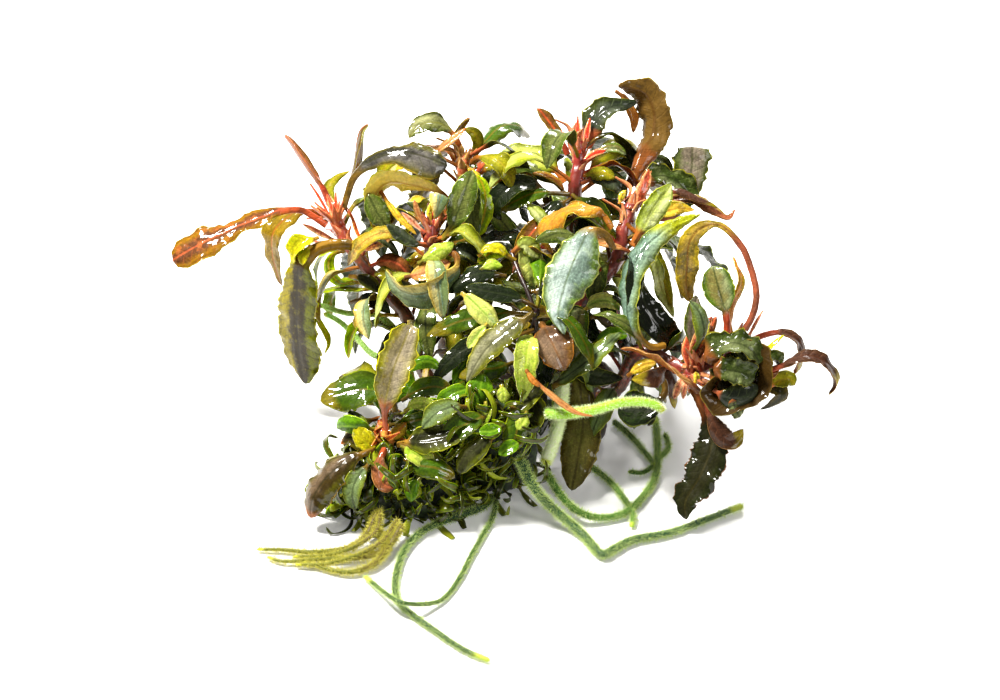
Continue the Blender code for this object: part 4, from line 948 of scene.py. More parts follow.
print("leaf finishes", len(leaf_finishes))

# %% [markdown]
# ## The forty large leaves
#
# These are the leaves that a viewer would count. Each is a separate piece and stands in the place
# of one solid, so the table repeats the solids' places: a width in millimetres, the stalk's share
# of the length, where the blade is widest, the way its upper side faces at mid-length, its twist
# towards the base and the tip, its look, and the places it passes through as seen.

# %% Large leaves
LEAVES = """
leaf_bronze bronze 4.6 .24 .76 .05 .72 .68 0 -15 | -22.6 16.2 -.6,-24.2 17.3 -.2,-26 18.2 0,-28.5 18 .5,
 -31 17.2 .8,-35 15.6 1,-39 13.7 1,-42.6 11.6 .5
leaf_strap olive_strap 3.2 .2 .55 -.6 .2 .75 | -22.2 16.8 -4,-24 17.9 -3.8,-26.5 17.8 -3.3,-29.2 15.6 -3.2,
 -29.5 12.5 -4.5,-28.4 8.4 -7
leaf_edge_on rust 2.4 .22 .6 .85 .5 .25 | -22.2 19 -3.6,-23.2 21.3 -4.4,-25 23.8 -5,-27 26.8 -6,
 -27.9 28.1 -6.5
leaf_upright brown_upright 2.5 .25 .65 .95 -.1 .3 0 20 | -20.4 18.6 -4.2,-19.8 20.2 -5,-19 23 -6,
 -18.5 26 -7,-18 28.3 -7.5,-17 29.3 -7.6
leaf_silver_arch silver 4.6 .28 .68 -.05 .52 .85 | -20.3 18.6 -.4,-19.8 20.3 .2,-19 22.4 .8,-17 24.4 1.5,
 -14 25.5 2.5,-11.5 25.5 3,-9 24.8 3,-6.8 24 2.5
leaf_hanging hanging 5.6 .26 .7 -.35 .12 .92 | -18.6 13.2 .4,-20 13.7 1.2,-22.5 13.5 2,-24.6 12.5 2.5,
 -26 10.5 2,-26.4 5 -1,-26.1 0 -4.5,-25.3 -4.5 -7.5
leaf_tan_arch mustard 3.5 .18 .62 .05 .75 -.6 0 -70 | -7.3 16.9 1,-6.7 19.2 1.2,-8.4 20.9 1.4,
 -11.5 21.7 1.2,-14.5 22 .2,-16.2 20.6 -.8,-16.4 18 -2.2,-15.8 15.2 -4
leaf_speckled speckled 3.2 .18 .58 .1 -.1 1 | -7.4 14.4 3.4,-6.4 15.8 4.2,-5.3 18.5 4.3,-4.4 21.2 3.6,
 -3.6 23.4 2.6
leaf_lime lime 2 .22 .55 .5 .1 .86 | -6.9 13.6 .6,-4.6 14.2 .8,-2.7 16 .8,-1.9 19 .8,-2.3 21.5 .4,
 -3.6 23.2 0
leaf_smile smile 3.5 .2 .6 0 -.7 .7 | -7.2 13 3.6,-5.7 12.2 4.8,-5.8 10.3 6.2,-7.8 8.4 6.7,-10.5 7.3 6.6,
 -13 8 5.8,-14.8 10.5 4.8
leaf_curled_top curled_top 2.6 .2 .6 -.2 .6 .75 | -5.3 26.6 -3.6,-5.9 27.8 -3.2,-7 28.9 -2.8,-8.4 29.5 -2.3,
 -10.2 29.3 -1.8,-11.9 27.6 -1.6
leaf_green_arch olive_arch 2.9 .18 .6 .3 .6 .7 | -3.6 24.4 -2.4,-2.6 25 -1.2,-.8 24.8 .3,.9 23.3 .9,
 1.9 20.9 .5
leaf_pale_broad pale_broad 3.9 .15 .6 .05 .4 .9 | 8.4 21.8 -2.4,7.4 23.2 -2.6,5.2 24.6 -3,2.4 25.3 -3.4,
 -.4 25.1 -4.2
leaf_red_brown red_brown 2.2 .2 .55 .5 .4 .75 | 8.8 25.4 -1.9,8.2 26.7 -2.1,6.9 28.8 -2.6,4.8 31.5 -3.5
leaf_slate slate 3.2 .18 .55 -.5 .3 .8 0 40 | 11.4 26.2 -2.4,11.7 27.8 -2.6,12.3 29.7 -2.6,14 31.3 -2.7,
 16 31.9 -3.1,17.8 32.3 -4
leaf_hooked hooked 3.8 .3 .62 .45 .2 -.87 | 16.9 21.6 -.6,17.6 22.8 -1.6,18.8 25.2 -3,20 28 -4,20.1 31 -4.5,
 19 33.3 -4.5,17 34.1 -4,15.3 34.4 -3
leaf_violet violet 4.2 .36 .74 0 -.1 1 | 18.6 18.2 -.6,21 17.2 -1.8,23.3 18.2 -2.6,24.4 21 -3.2,
 24.9 23.8 -4,25 26.5 -5.2
leaf_pale_ellipse pale_ellipse 2.9 .12 .52 .2 .1 1 | 17.4 14 6.4,18.3 15.6 6.8,20 18.3 6.2,21.3 20.2 5.4,
 22.3 21.6 4.5
leaf_golden_arch golden 3.9 .14 .5 -.1 .8 .4 0 -40 | 14.6 15.8 6.4,13 17.8 6.4,10 18.4 6.2,7.5 17.5 5.9,
 5.8 15.8 5.6,5.7 14 5.2,6.8 12.4 4.7
leaf_blue_green blue_green 5.4 .22 .6 -.22 .08 .97 | 14.8 13.2 7.2,13.6 15 8.4,11.7 15.2 9.8,10.3 13 10.8,
 9 10 11,8 6.9 11.2,7.6 4.4 11.6,8.4 2 11.8
leaf_long_slate long_slate 3.2 .12 .5 -.55 .25 .8 -30 40 | 21.4 .6 9.2,19.8 .4 10,18.4 1.4 10.6,16.9 3.8 11,
 16.6 7 11,17.2 10.5 10.6,19.4 13.8 9.8,22.5 16.3 8.4,26.2 17.7 6.2
leaf_black_glossy black_glossy 3.6 .2 .62 .2 .3 .93 | 17.8 11 4.8,18.3 8.6 6.4,18.8 6 7.4,20.5 3.2 7.4,
 22.4 1.3 6.6,24 0 5.6
leaf_tan_bend tan_bend 2.6 .52 .8 -.3 .45 .84 0 -20 | 31.8 2.6 10.8,32.8 4.4 10.8,33.3 6.4 10.4,33.2 8.4 10,
 32.5 11 9.6,31.3 13.6 9.6,28.7 16.2 9.8,26.2 15.9 10.4,24.6 14 10.2,24.3 11 9.2,24.2 8.5 8,24.8 6.2 6.8
leaf_green_right green_right 3.7 .4 .7 .1 0 1 | 29.3 .6 11.2,29.5 2.4 11.8,29.4 4.4 12,28.8 6.6 12,
 28.2 8.8 11.6,27.6 11 10.6
leaf_tan_crossing tan_thin 1.9 .1 .5 .4 .9 .1 | 25.8 -5.4 11.6,24.6 -4.2 12.8,22.8 -2.7 13.5,19.5 -.7 13.6,
 17.3 .2 13.2,15.7 .3 12.6
leaf_rolled rolled 4.4 .1 .55 .8 .3 -.5 | 28 -2.6 11.8,28.6 -.6 12.6,30.6 .6 13,33 -.6 13,33.8 -3.4 13,
 32.6 -6 13,30 -6.8 13,27.8 -5.6 13.2,27.9 -3.9 13.6,29.6 -3.2 14,31 -3.4 14.2
leaf_mauve_hooked mauve 2.3 .3 .66 -.1 .25 .96 | 26.5 -5.4 10.6,26.9 -7.4 11.6,27.8 -9.5 12.8,29 -11.3 12.8,
 30.3 -11.7 12.2,31.7 -10.3 11.6
leaf_dark_hanging dark_hanging 4.2 .18 .62 -.2 .15 .97 | 25 -5 9.2,26.4 -7.6 9.8,27.5 -10.2 10.4,
 27.4 -13 11.4,26 -16.5 12.2,24.2 -19.5 12.3,24.2 -22.1 12.2
leaf_mauve_arc_upper mauve 2.3 .28 .62 .3 .7 .6 | 32.7 1.2 9.6,34.2 1.9 9.4,36.4 2.3 9,38.4 1.4 8.6,
 39.3 -.4 8.2,38.9 -1.9 7.6,38.3 -3.1 7.2
leaf_mauve_arc_lower mauve 2.2 .34 .66 .25 .75 .6 | 31.4 -1.6 7.2,33.7 -2.8 8.4,36.5 -2.1 10.6,
 39.6 -.8 11.2,42.1 -1.5 10.6,43.5 -3.3 9.6,43.6 -4.8 9,42.9 -5.9 8.5
leaf_pale_olive pale_olive 4.4 .2 .56 -.15 .05 1 | -14.8 -10.4 12,-15 -8.8 12.5,-14.7 -6 13,-14 -3 13,
 -12.8 .2 12.5,-11.5 3.3 11.5
leaf_pink_hanging pink_leaf 2.1 .15 .6 .2 .1 1 | -15 -12.9 12,-15.5 -14.2 13,-15.6 -16 13.4,-15 -17.6 13.4,
 -13.8 -18 13.2
leaf_glossy glossy_green 4.7 .2 .6 0 .4 .92 | -13.6 -8 8.4,-14.2 -6.2 8.8,-16.2 -5.2 8.9,-19.2 -5.4 8.6,
 -23.4 -6.6 8
leaf_low_olive low_olive 4.1 .14 .62 -.35 .28 .89 | -16.3 -13 11.4,-17.8 -13.5 12.6,-19.7 -14.3 13.3,
 -22.4 -16.5 13.4,-24.2 -19.2 12.8,-24.7 -21.9 11.8
leaf_grey_olive grey_olive 3.7 .12 .55 0 .5 .86 | -13.2 -12.3 12,-11.8 -12.1 13,-8 -11.4 13.6,
 -5.8 -10.8 13.6,-3.8 -10.4 13.2
leaf_grey_glossy grey_glossy 3.2 .1 .5 -.2 .3 .93 | 4 4.6 10,3 3.8 11.2,1 2.5 12,-2 -.2 12.2,-4.4 -4.2 11.5
leaf_mauve_broad mauve_broad 4.4 .12 .55 0 .3 .95 | 5.4 3.4 8.6,6.2 2 10.2,7.4 -.4 11.4,8.4 -2.7 11.6
leaf_striped striped 2.7 .12 .55 -.3 .5 .8 | 5.9 -5.2 7.6,7.6 -4.3 8.6,9.6 -2.8 9.4,12 -1 9.8,14.2 .9 9.6,
 15.8 2.4 8.6
leaf_grey_strap grey_strap 4.5 .24 .66 .05 .1 .99 | 6.9 .6 3.4,8.8 -.8 3.6,10.2 -4 4.4,10.8 -9 5.6,
 10.2 -13.5 6.5,9.3 -18.3 6.8
leaf_black_ellipse black_glossy 4.4 .4 .74 0 .3 .95 | 20.2 -3 8.4,21.3 -4.2 8.8,21.4 -5.6 9.2,20.2 -7 9.6,
 17.8 -7.6 9.6,15.2 -7.4 9
"""
# Leaves with an outline of their own: shares of the length with the half widths left and right
LEAF_OUTLINES = """
leaf_bronze | shares 0 .5 .5,.24 .5 .5,.33 .8 .9,.42 1.5 1.9,.48 1.6 2,.55 1.3 1.3,.62 1.7 1.6,.7 2.4 2.1,
 .78 2.5 2.5,.86 2.3 2.6,.93 2.2 2.3,.98 1.5 1.6,1 .9 .9
leaf_silver_arch | shares 0 .5 .5,.28 .6 .6,.38 1 .9,.5 1.3 1.1,.62 1.6 1.5,.72 2 2.3,.82 2.2 2.8,
 .9 1.9 2.7,.96 1.3 1.9,1 .4 .8
leaf_hanging | shares 0 .7 .7,.2 .8 .9,.3 1.1 1.3,.4 2.6 2,.5 3 2.7,.6 2.5 3.2,.7 2.9 3.3,.8 3.2 2.8,
 .88 2.5 2.3,.95 1.6 1.2,1 .3 .3
leaf_hooked | shares 0 .7 .7,.12 .9 .9,.26 1.5 1.4,.4 2 1.9,.55 2.1 2.2,.66 1.9 2.5,.76 2.1 2.4,.86 1.5 1.5,
 .93 .8 .7,1 .2 .2
leaf_violet | shares 0 .4 .4,.36 .6 .6,.48 1.3 1.2,.62 2.1 1.8,.76 2.4 2.2,.88 2.6 2.5,.94 2.4 2.8,
 .98 2 2.5,1 1.2 1.8
leaf_blue_green | shares 0 .4 .4,.2 .7 .7,.3 1.9 1.7,.4 2.9 2.5,.5 3.4 3,.6 3.1 3.2,.7 2.4 3,.79 1.6 2.2,
 .87 1.3 1.2,.94 .9 .6,1 .1 .1
leaf_dark_hanging | shares 0 .5 .5,.18 .6 .6,.3 1.4 1.4,.42 2.4 2,.5 2.1 2.6,.58 2.6 2.1,.66 2.2 2.4,
 .74 2.5 1.7,.82 1.8 2,.9 1.5 1.3,.96 .7 .8,1 .1 .1
leaf_pale_olive | shares 0 .35 .35,.18 .4 .4,.28 1.2 1.4,.4 2 2,.52 2 2.5,.62 2.4 2.3,.74 2.1 2.4,
 .84 2.2 1.8,.93 1.6 1.5,1 .8 1
leaf_slate | shares 0 .5 .5,.2 1.2 1.4,.34 2.3 2,.5 2.2 1.7,.66 1.3 1.2,.8 .9 .9,1 .3 .3
"""

# Leaves whose waves, folds or wrinkles differ from the usual ones
LEAF_SHAPES = """
leaf_bronze: fold -.05, wave_height .7, ragged .14, wrinkle .2
leaf_edge_on: wave_height .12, buckle .1, ragged .04, fold .35
leaf_upright: wave_height .12, buckle .1, ragged .04, fold .35
leaf_silver_arch: fold -.25, wave_height .7, buckle .5
leaf_hanging: fold -.15, wave_height .9, ragged .15, buckle .6, wrinkle .12
leaf_tan_arch: fold .1, wave_height .8
leaf_smile: fold .3, wave_height .8
leaf_slate: wave_height 1.4, fold .2
leaf_hooked: wave_height 1, ragged .2, wrinkle .22, fold .25
leaf_violet: wave_height 1.3, ragged .25, fold -.1, buckle .8
leaf_golden_arch: fold -.2, wave_height .9, ragged .18
leaf_blue_green: fold -.2, wave_height 1.3, buckle .7
leaf_long_slate: fold -.3, wave_height 1.1, wrinkle .22
leaf_rolled: wave_height 1.3, buckle .9, wrinkle .25
leaf_dark_hanging: wave_height 1.2, ragged .3, wave_rate .34
leaf_pale_olive: wave_height 1.2, ragged .22, fold .2
leaf_low_olive: fold -.35, wave_height .7, wave_rate .4
leaf_grey_glossy: wave_height 1.1, ragged .15
leaf_grey_strap: fold -.1, wrinkle .25, wave_height .6
leaf_mauve_broad: fold .35, wave_height .6
"""

# Wavy blades look narrower than flat ones, so all are grown a little
BLADE_GROWTH = 1.12

outlines = {name: outline for _, (name,), outline in shapes_of(LEAF_OUTLINES)}
shapes = settings_of(LEAF_SHAPES)
large_leaves = list(shapes_of(LEAVES))
for _, (name, look, width, stalk, widest, *ways), route in large_leaves:
    leaf = make_leaf(name, route, seen_way(*ways[:3]), width * BLADE_GROWTH, stalk, widest,
                     leaf_finishes[look], ways[3:] or (0.0, 0.0), outline=outlines.get(name),
                     **shapes.get(name, {}))
    leaf.name = name + "_blade"
    shown(leaf, name)
print("large leaves", len(large_leaves))

# %% [markdown]
# ## Stems
#
# A living stem is fleshy, reddish and ringed by the scars of the leaves it has dropped. An old one
# is brown and fibrous. Both are a ring of points swept along a path, like the leaves, but here the
# tree moves the points by lumps, by lengthwise ridges and by a raised scar every few millimetres.

# %% Tube tree
TUBE_SIZES = {
    "Lumps": 0.12, "Ridges": 0.05, "Scars": 0.08, "Scar Spacing": 1.6, "Sides": 20, "Seed": 1.0,
    "Hairs": 0.0, "Hair Length": 0.25, "Hair Width": 0.06, "Floor": -1.0,
}
HAIR_CLEARANCE = 0.03 * MM
TUBE_STATION = 0.35
BLUNTNESS = 0.8


def build_tube_tree():
    """The tree that turns a spine into a lumpy closed tube, with short hairs where they are asked for."""
    tree, given, finish, size = new_tree("tube", TUBE_SIZES)
    tree.interface.new_socket(name="Hair Finish", in_out="INPUT", socket_type="NodeSocketMaterial")
    hair_finish = given.node.outputs["Hair Finish"]
    skin = swept_ring(tree, given, size["Sides"])
    angle = named(tree, "turn") * (2.0 * math.pi)
    run = named(tree, "run")
    east = angle.math("COSINE")
    north = angle.sine()
    seed = size["Seed"] * 9.1
    round_place = combined(tree, run * 0.45 + seed, east, north)
    long_place = combined(tree, run * 0.12 + seed, east * 4.0, north * 4.0)
    lumps = (noise(tree, round_place, 1.0, 2.0, 0.5) - 0.5) * size["Lumps"] * 2.0
    ridges = (noise(tree, long_place, 1.0, 2.0, 0.6) - 0.5) * size["Ridges"] * 2.0
    bend = noise(tree, round_place, 0.6, 1.0, 0.5) * 0.6
    scars = (run / size["Scar Spacing"] + bend).math("PINGPONG", 0.5) * 2.0
    scars = scars.smooth(0.72, 1.0) * size["Scars"]
    radius = named(tree, "girth") * (lumps + ridges + scars + 1.0)
    place = beside_spine(tree, east * radius, north * radius)
    skin = moved(tree, skin, with_height(tree, place, lambda height: height.math("MAXIMUM", size["Floor"])))
    skin = add_node(tree, "GeometryNodeFlipFaces", {"Mesh": skin}).outputs[0]
    skin = add_node(tree, "GeometryNodeSetShadeSmooth", {"Geometry": skin}).outputs[0]
    skin = finished(tree, skin, finish)

    hair = add_node(tree, "GeometryNodeMeshCone", {
        "Vertices": 3, "Radius Top": 0.0, "Radius Bottom": size["Hair Width"] * (0.5 * MM),
        "Depth": size["Hair Length"] * MM}).outputs["Mesh"]
    hairs = made_real(tree, scattered(tree, skin, size["Hairs"], 3, hair, 0.6, (0.35, 1.15)))
    here = add_node(tree, "GeometryNodeInputPosition").outputs[0]
    hairs = moved(tree, hairs, with_height(
        tree, here, lambda height: height.math("MAXIMUM", size["Floor"] + HAIR_CLEARANCE)))
    hand_out(tree, skin, finished(tree, hairs, hair_finish))
    return tree


tube_tree = build_tube_tree()


def make_tube(name, points, radius_base, radius_tip, finish, **sizes):
    """One stem or root as a plain mesh object, rounded off at its two ends."""
    path = smooth_path(points, TUBE_STATION)
    ways, normals = carried_normals(path, Vector((0.13, 0.21, 0.97)))
    last = len(path) - 1
    length = sum((b - a).length for a, b in zip(path, path[1:])) / MM
    radii = []
    for i in range(last + 1):
        share = i / last
        radius = radius_base + (radius_tip - radius_base) * share
        left_over = min(share, 1.0 - share) * length
        short = min(left_over / (radius * BLUNTNESS), 1.0)
        radii.append(radius * max(0.12, math.sqrt(1.0 - (1.0 - short) ** 2)) * MM)
    spine = spine_mesh(name, path, ahead=ways, facing=normals, girth=radii,
                       share=[i / last for i in range(last + 1)],
                       run=[length * i / last for i in range(last + 1)])
    sizes.setdefault("seed", (len(bpy.data.meshes) * 0.37) % 7.0)
    return grown(name, tube_tree, spine, finish, **sizes)


print("tube tree nodes", len(tube_tree.nodes))

# %% [markdown]
# ## Stem finishes
#
# A young stem is wet and fleshy, red to salmon, with darker lines along it. Lower down it turns
# maroon and then brown. The old rhizomes are dark, dull and fibrous with a few rusty patches.

# %% Stem finishes


def stem_finish(name, young, old, line, spot, ages=(0.35, 0.75), roughness=0.38, coat=0.5, grain=0.05):
    """The finish of a stem that is old at its base and young at its bud."""
    material, tree, shader, place = new_finish(name, roughness, coat, 0.12, 0.5)
    share = painted(tree, "share")
    broad = noise(tree, place, 420.0, 3.0, 0.6) - 0.5
    fine = noise(tree, place, 2400.0, 3.0, 0.6) - 0.5
    colour = tint(tree, (share + broad * 0.4).smooth(*ages), old, young)
    colour = tint(tree, (fine + broad).smooth(0.0, 0.2), colour, line)
    colour = scaled(tree, colour, fine * 1.4 + 1.0)
    colour = tint(tree, noise(tree, place, 900.0, 2.0, 0.5).smooth(0.62, 0.72) * 0.7, colour, spot)
    feed(tree, shader.inputs["Base Color"], colour)
    bumped(tree, shader, fine + broad * 0.5, grain)
    return material


# Stems: solid and name of the look, then the colours of the young end, the old end, the lines and the
# spots, and between which shares of its length the stem ages
STEM_LOOKS = """
shoot_left coral_stem: young 190 72 50, old 100 60 30, line 136 56 36, spot 196 150 50, ages .72 .97
shoot_centre_left maroon_stem: young 146 46 36, old 66 40 20, line 96 30 24, spot 170 100 60, ages .7 .98
shoot_back_left peach_stem: young 214 112 62, old 86 54 26, line 170 76 46, spot 226 160 100, ages .8 .98
shoot_back_right red_stem: young 164 48 40, old 84 42 26, line 112 34 28, spot 214 140 110, ages .7 .96
shoot_right_centre salmon_stem: young 140 54 42, old 76 36 28, line 112 42 34, spot 214 150 100,
 ages .45 .8
shoot_right rosy_stem: young 140 48 36, old 84 40 30, line 130 50 40, spot 216 146 90, ages .6 .95
shoot_low_left orange_stem: young 188 92 44, old 80 62 26, line 140 60 30, spot 220 170 60, ages .7 .96
shoot_centre dark_stem: young 50 20 18, old 42 26 16, line 30 14 14, spot 104 56 34, coat .25
shoot_back brown_stem: young 150 70 44, old 66 44 24, line 104 50 32, spot 180 130 60
old_rhizomes old_stem: young 74 50 30, old 58 42 26, line 40 28 18, spot 122 70 36, ages .2 .8,
 roughness .6, coat .25, grain .12
"""
stem_looks = {}
for names, look in settings_of(STEM_LOOKS).items():
    shoot, name = names.split()
    stem_looks[shoot] = stem_finish(name, **look)
print("stem finishes", len(stem_looks))

# %% [markdown]
# ## Nine shoots
#
# A shoot is a stem with its small leaves, its leaves at the back and the red bud at its end. Each
# stands in the place of one solid, so its tables repeat the solid's places. The bud is a whorl:
# each pointed bract stands a golden angle, 137.5 degrees, on from the one before, which is how the
# plant packs new leaves, so a short rule places them all.

# %% Stem and small leaf tables
# Stems: shoot, radius at the base and at the bud, and places from the base to the bud
STEMS = {shoot: (base, bud, route) for _, (shoot, base, bud), route in shapes_of("""
shoot_left 1.2 1 | real -9 9.5 6.6,-11.2 12.6 9,seen -12 4 -4.5,-14.8 7.5 -4,-16.5 9.5 -3,-18 11.5 -2,
 -20.2 14.5 -1.9,-21.3 17.2 -1.9
shoot_centre_left 1.2 1.1 | real -3 11 6.6,-6 13.5 12,-8.6 15 19,seen -9 14.3 2.3,-8.6 17 1.6
shoot_back_left 1.3 1 | real -3 21.5 6.6,-3.6 23.6 13,-4.6 24.8 22,seen -4.8 23.5 -3.5,-4.7 25.2 -3.8
shoot_back_right 1.3 1.1 | real 7 20 6.6,8.4 22 13,9.2 23 22,seen 9.7 20.5 -.9,10.3 24.5 -.9,9.9 27.6 -.8
shoot_right_centre 1.5 1 | real 7 12.5 6.6,8.6 11.5 12,seen 11 6.7 2.5,13 9 3.5,15.3 12 4.5,16.2 16 5,
 17.5 20.2 3
shoot_right 1.2 1.1 | real 12.5 7.5 6.4,15 5.5 9.4,seen 18 -.2 5.8,22 -1.6 8,25 -3.2 9.7,26.6 -3.6 9.9
shoot_low_left 1 1 | real -13.6 5.2 5,-14.5 2 7.6,-15.2 -2.4 9.5,-15.4 -6.3 9.9
shoot_centre 1.3 1.1 | real 2.6 7 6.6,3.4 5.6 12,4 5.3 18,4.4 5.4 22
shoot_back 1.2 1 | real 4.2 27.2 6,4.6 28.6 9.5,4.8 29.2 13.6
""")}

# Branches fused to a stem: shoot, radius at the base and at the bud, and places
BRANCHES = [(*sizes, route) for _, sizes, route in shapes_of("""
shoot_right 1 .9 | 24.6 -3 9.5,28 -1.6 9.3,31 .4 10.2,31.4 1.3 10.4
shoot_centre .8 .7 | 4.6 5 8,3.4 8 7,2.3 10.5 5.6,1.4 13.2 4
""")]

# Old rhizomes: radius and places, all fused
OLD_RHIZOMES = [(radius, route) for _, (_, radius), route in shapes_of("""
rhizome 2.9 | real -10.5 5 2.2,-4 9.5 2.6,3 11 2.6,9 13.5 2.6,14 19 2.2
rhizome 2.7 | real 12.5 4.5 2.2,8 10 2.5,1.5 15 2.7,-3.5 21.5 2.5,-8 26 2.2
rhizome 2.6 | real .5 2.5 2.2,2.5 12 2.6,5.5 20 2.6,4.5 27.5 2.2
""")]

# Small leaves fused to their shoot: look, width, stalk share, widest share, facing, and places
SMALL_LEAVES = """
shoot_left
olive_arch 1.6 .2 .6 .1 .3 .95 | -21 16.4 -2.2,-22.3 20.2 -7.6,-21.5 22.2 -9,-19.5 23.3 -9.6
lime 1.8 .2 .6 -.5 .3 .8 | -19.4 13.2 -2,-21.7 12.4 -2.2,-22.2 10.6 -2.6,-20.8 8.8 -3,-19 9 -3.6
lime 1.7 .2 .6 0 .9 .4 | -15.6 8.2 -3.6,-18.7 7.8 -4.4,-21.5 8 -5,-24.6 7 -5.8
shoot_centre_left
slate 2 .2 .6 .1 .5 .85 | -9.1 13.6 2.4,-11.4 14 3.6,-13.4 15.2 4,-14.8 16.4 3.8
shoot_back_left
olive_strap 1.5 .2 .6 .9 .1 .3 | -4.8 24.4 -3.8,-5.8 27.2 -5.6,-5 29.2 -6,-3.9 30.2 -6
olive_arch 1.9 .2 .6 .5 .5 .7 | -4.8 24.4 -3.6,-3 26.4 -4.6,-3.2 28 -4.2,-4.6 28.8 -3.4
black_glossy 2.2 .2 .6 .1 .6 .8 | -4.4 17 -7.6,-2.4 14.6 -2.4,1.5 15 -.6,4.6 15.1 -1.2
shoot_back_right
glossy_green 2.6 .3 .6 -.1 .5 .85 | 9.7 20.2 -.9,6.8 20.4 0,4.6 20.4 .6,2 19.3 .8,-.6 18 .4
green_right 1.5 .4 .7 .1 .6 .8 | 10.4 23.8 -.9,13 25.8 0,15 26.2 .2,16.4 25.4 .2
olive_arch 2 .2 .6 .2 .3 .9 | 10.2 22.6 -.8,13.2 23 1.4,15 22.3 1.8
speckled 2.2 .3 .6 .1 .5 .85 | 10 21.8 -1,14 23.4 -5,19 24.8 -6.6,21.4 24.4 -6.4,22.6 22.2 -6
shoot_right_centre
pink_leaf 1.8 .3 .6 .1 .6 .8 | 17 18.4 3.8,20.2 19.4 2,25 19.6 1.4,27.6 18.2 1.4,29.6 17.2 1.4,30.6 18.4 1.2
pale_ellipse 2.2 .2 .6 .5 .2 .85 | 16.2 14.4 4.8,19.8 12 6.6,20.8 8.4 5.4,22.6 4.2 3.8
speckled 2.2 .2 .6 .2 .1 .97 | 12.4 8.2 3.2,13.6 6.6 5,14.2 4.2 5.2,14.4 2.8 4.8
shoot_right
violet 2.1 .4 .7 .1 0 1 | 25.4 -3.2 9.8,24.8 0 10.4,24.9 3.2 10.2,25.5 7.2 9.6
golden 1.5 .2 .6 .8 .2 .5 | 30.4 .2 10,29.9 3.5 8,30.3 6 7,31.3 9 6,30.4 12.2 5
rolled 2.3 .3 .6 .1 .4 .9 | 29 -1.2 9.4,32.4 -4.6 6.6,35.2 -4.6 6.2,36.6 -5.8 6,35.2 -7.2 5.6,33.8 -7.8 5.2
rust 1.6 .2 .6 0 .3 .95 | 26.2 -3.4 10,25.8 -.6 10.8,27.2 2.6 10.6,28.2 4.4 9.8
shoot_low_left
striped 1.7 .2 .6 .1 .2 .95 | -14.8 -12 10.3,-17.2 -10.8 10.2,-18.4 -9.2 9.4,-19.8 -7.8 8.4
low_olive 2.2 .2 .6 .1 .2 .95 | -14.8 -12 10.3,-17.6 -12.4 10.2,-19.4 -11.4 9.4,-20.8 -12.2 8.8
shoot_centre
glossy_green 2.9 .2 .6 -.1 .3 .95 | 4.7 4.6 8,1.8 4.8 8,-2 4.4 7.8,-5.5 3.6 7.6,-9.6 1.8 7
black_glossy 2.6 .2 .6 -.2 .3 .95 | 4.4 2.6 7.4,.4 1.2 8.4,-3.6 .6 9.2,-6.6 -1.6 9.4,-8.8 -4.4 8.8
black_glossy 3.9 .2 .6 .1 .2 .97 | 4.9 4 7.6,8 4.4 5.8,10.4 3.4 6,12.9 1.2 5.4
grey_olive 2.6 .2 .6 -.3 .4 .87 | 4.2 -2.6 3.6,5.4 -4 8,4 -6.2 11.6,2.5 -7.6 12.6,.4 -9.7 12.6
slate 2.6 .3 .65 0 .2 .97 | 4.6 -.4 5,9 -1.9 5.4,12.4 -3.5 6.6,16 -3.6 6.9
black_glossy 2.6 .2 .6 -.2 .5 .85 | 4.8 5.4 8,2.2 6.8 9,-.8 7.4 9.4,-4.6 8.2 9.2
pale_ellipse 2.4 .2 .6 0 .2 .97 | 1.6 12.6 4.4,3.2 13.8 4.6,5.2 12 4
lime 2.2 .2 .6 -.1 .3 .95 | 2 11.6 5,-.4 12.8 5.4,-3 11.4 4.8
"""

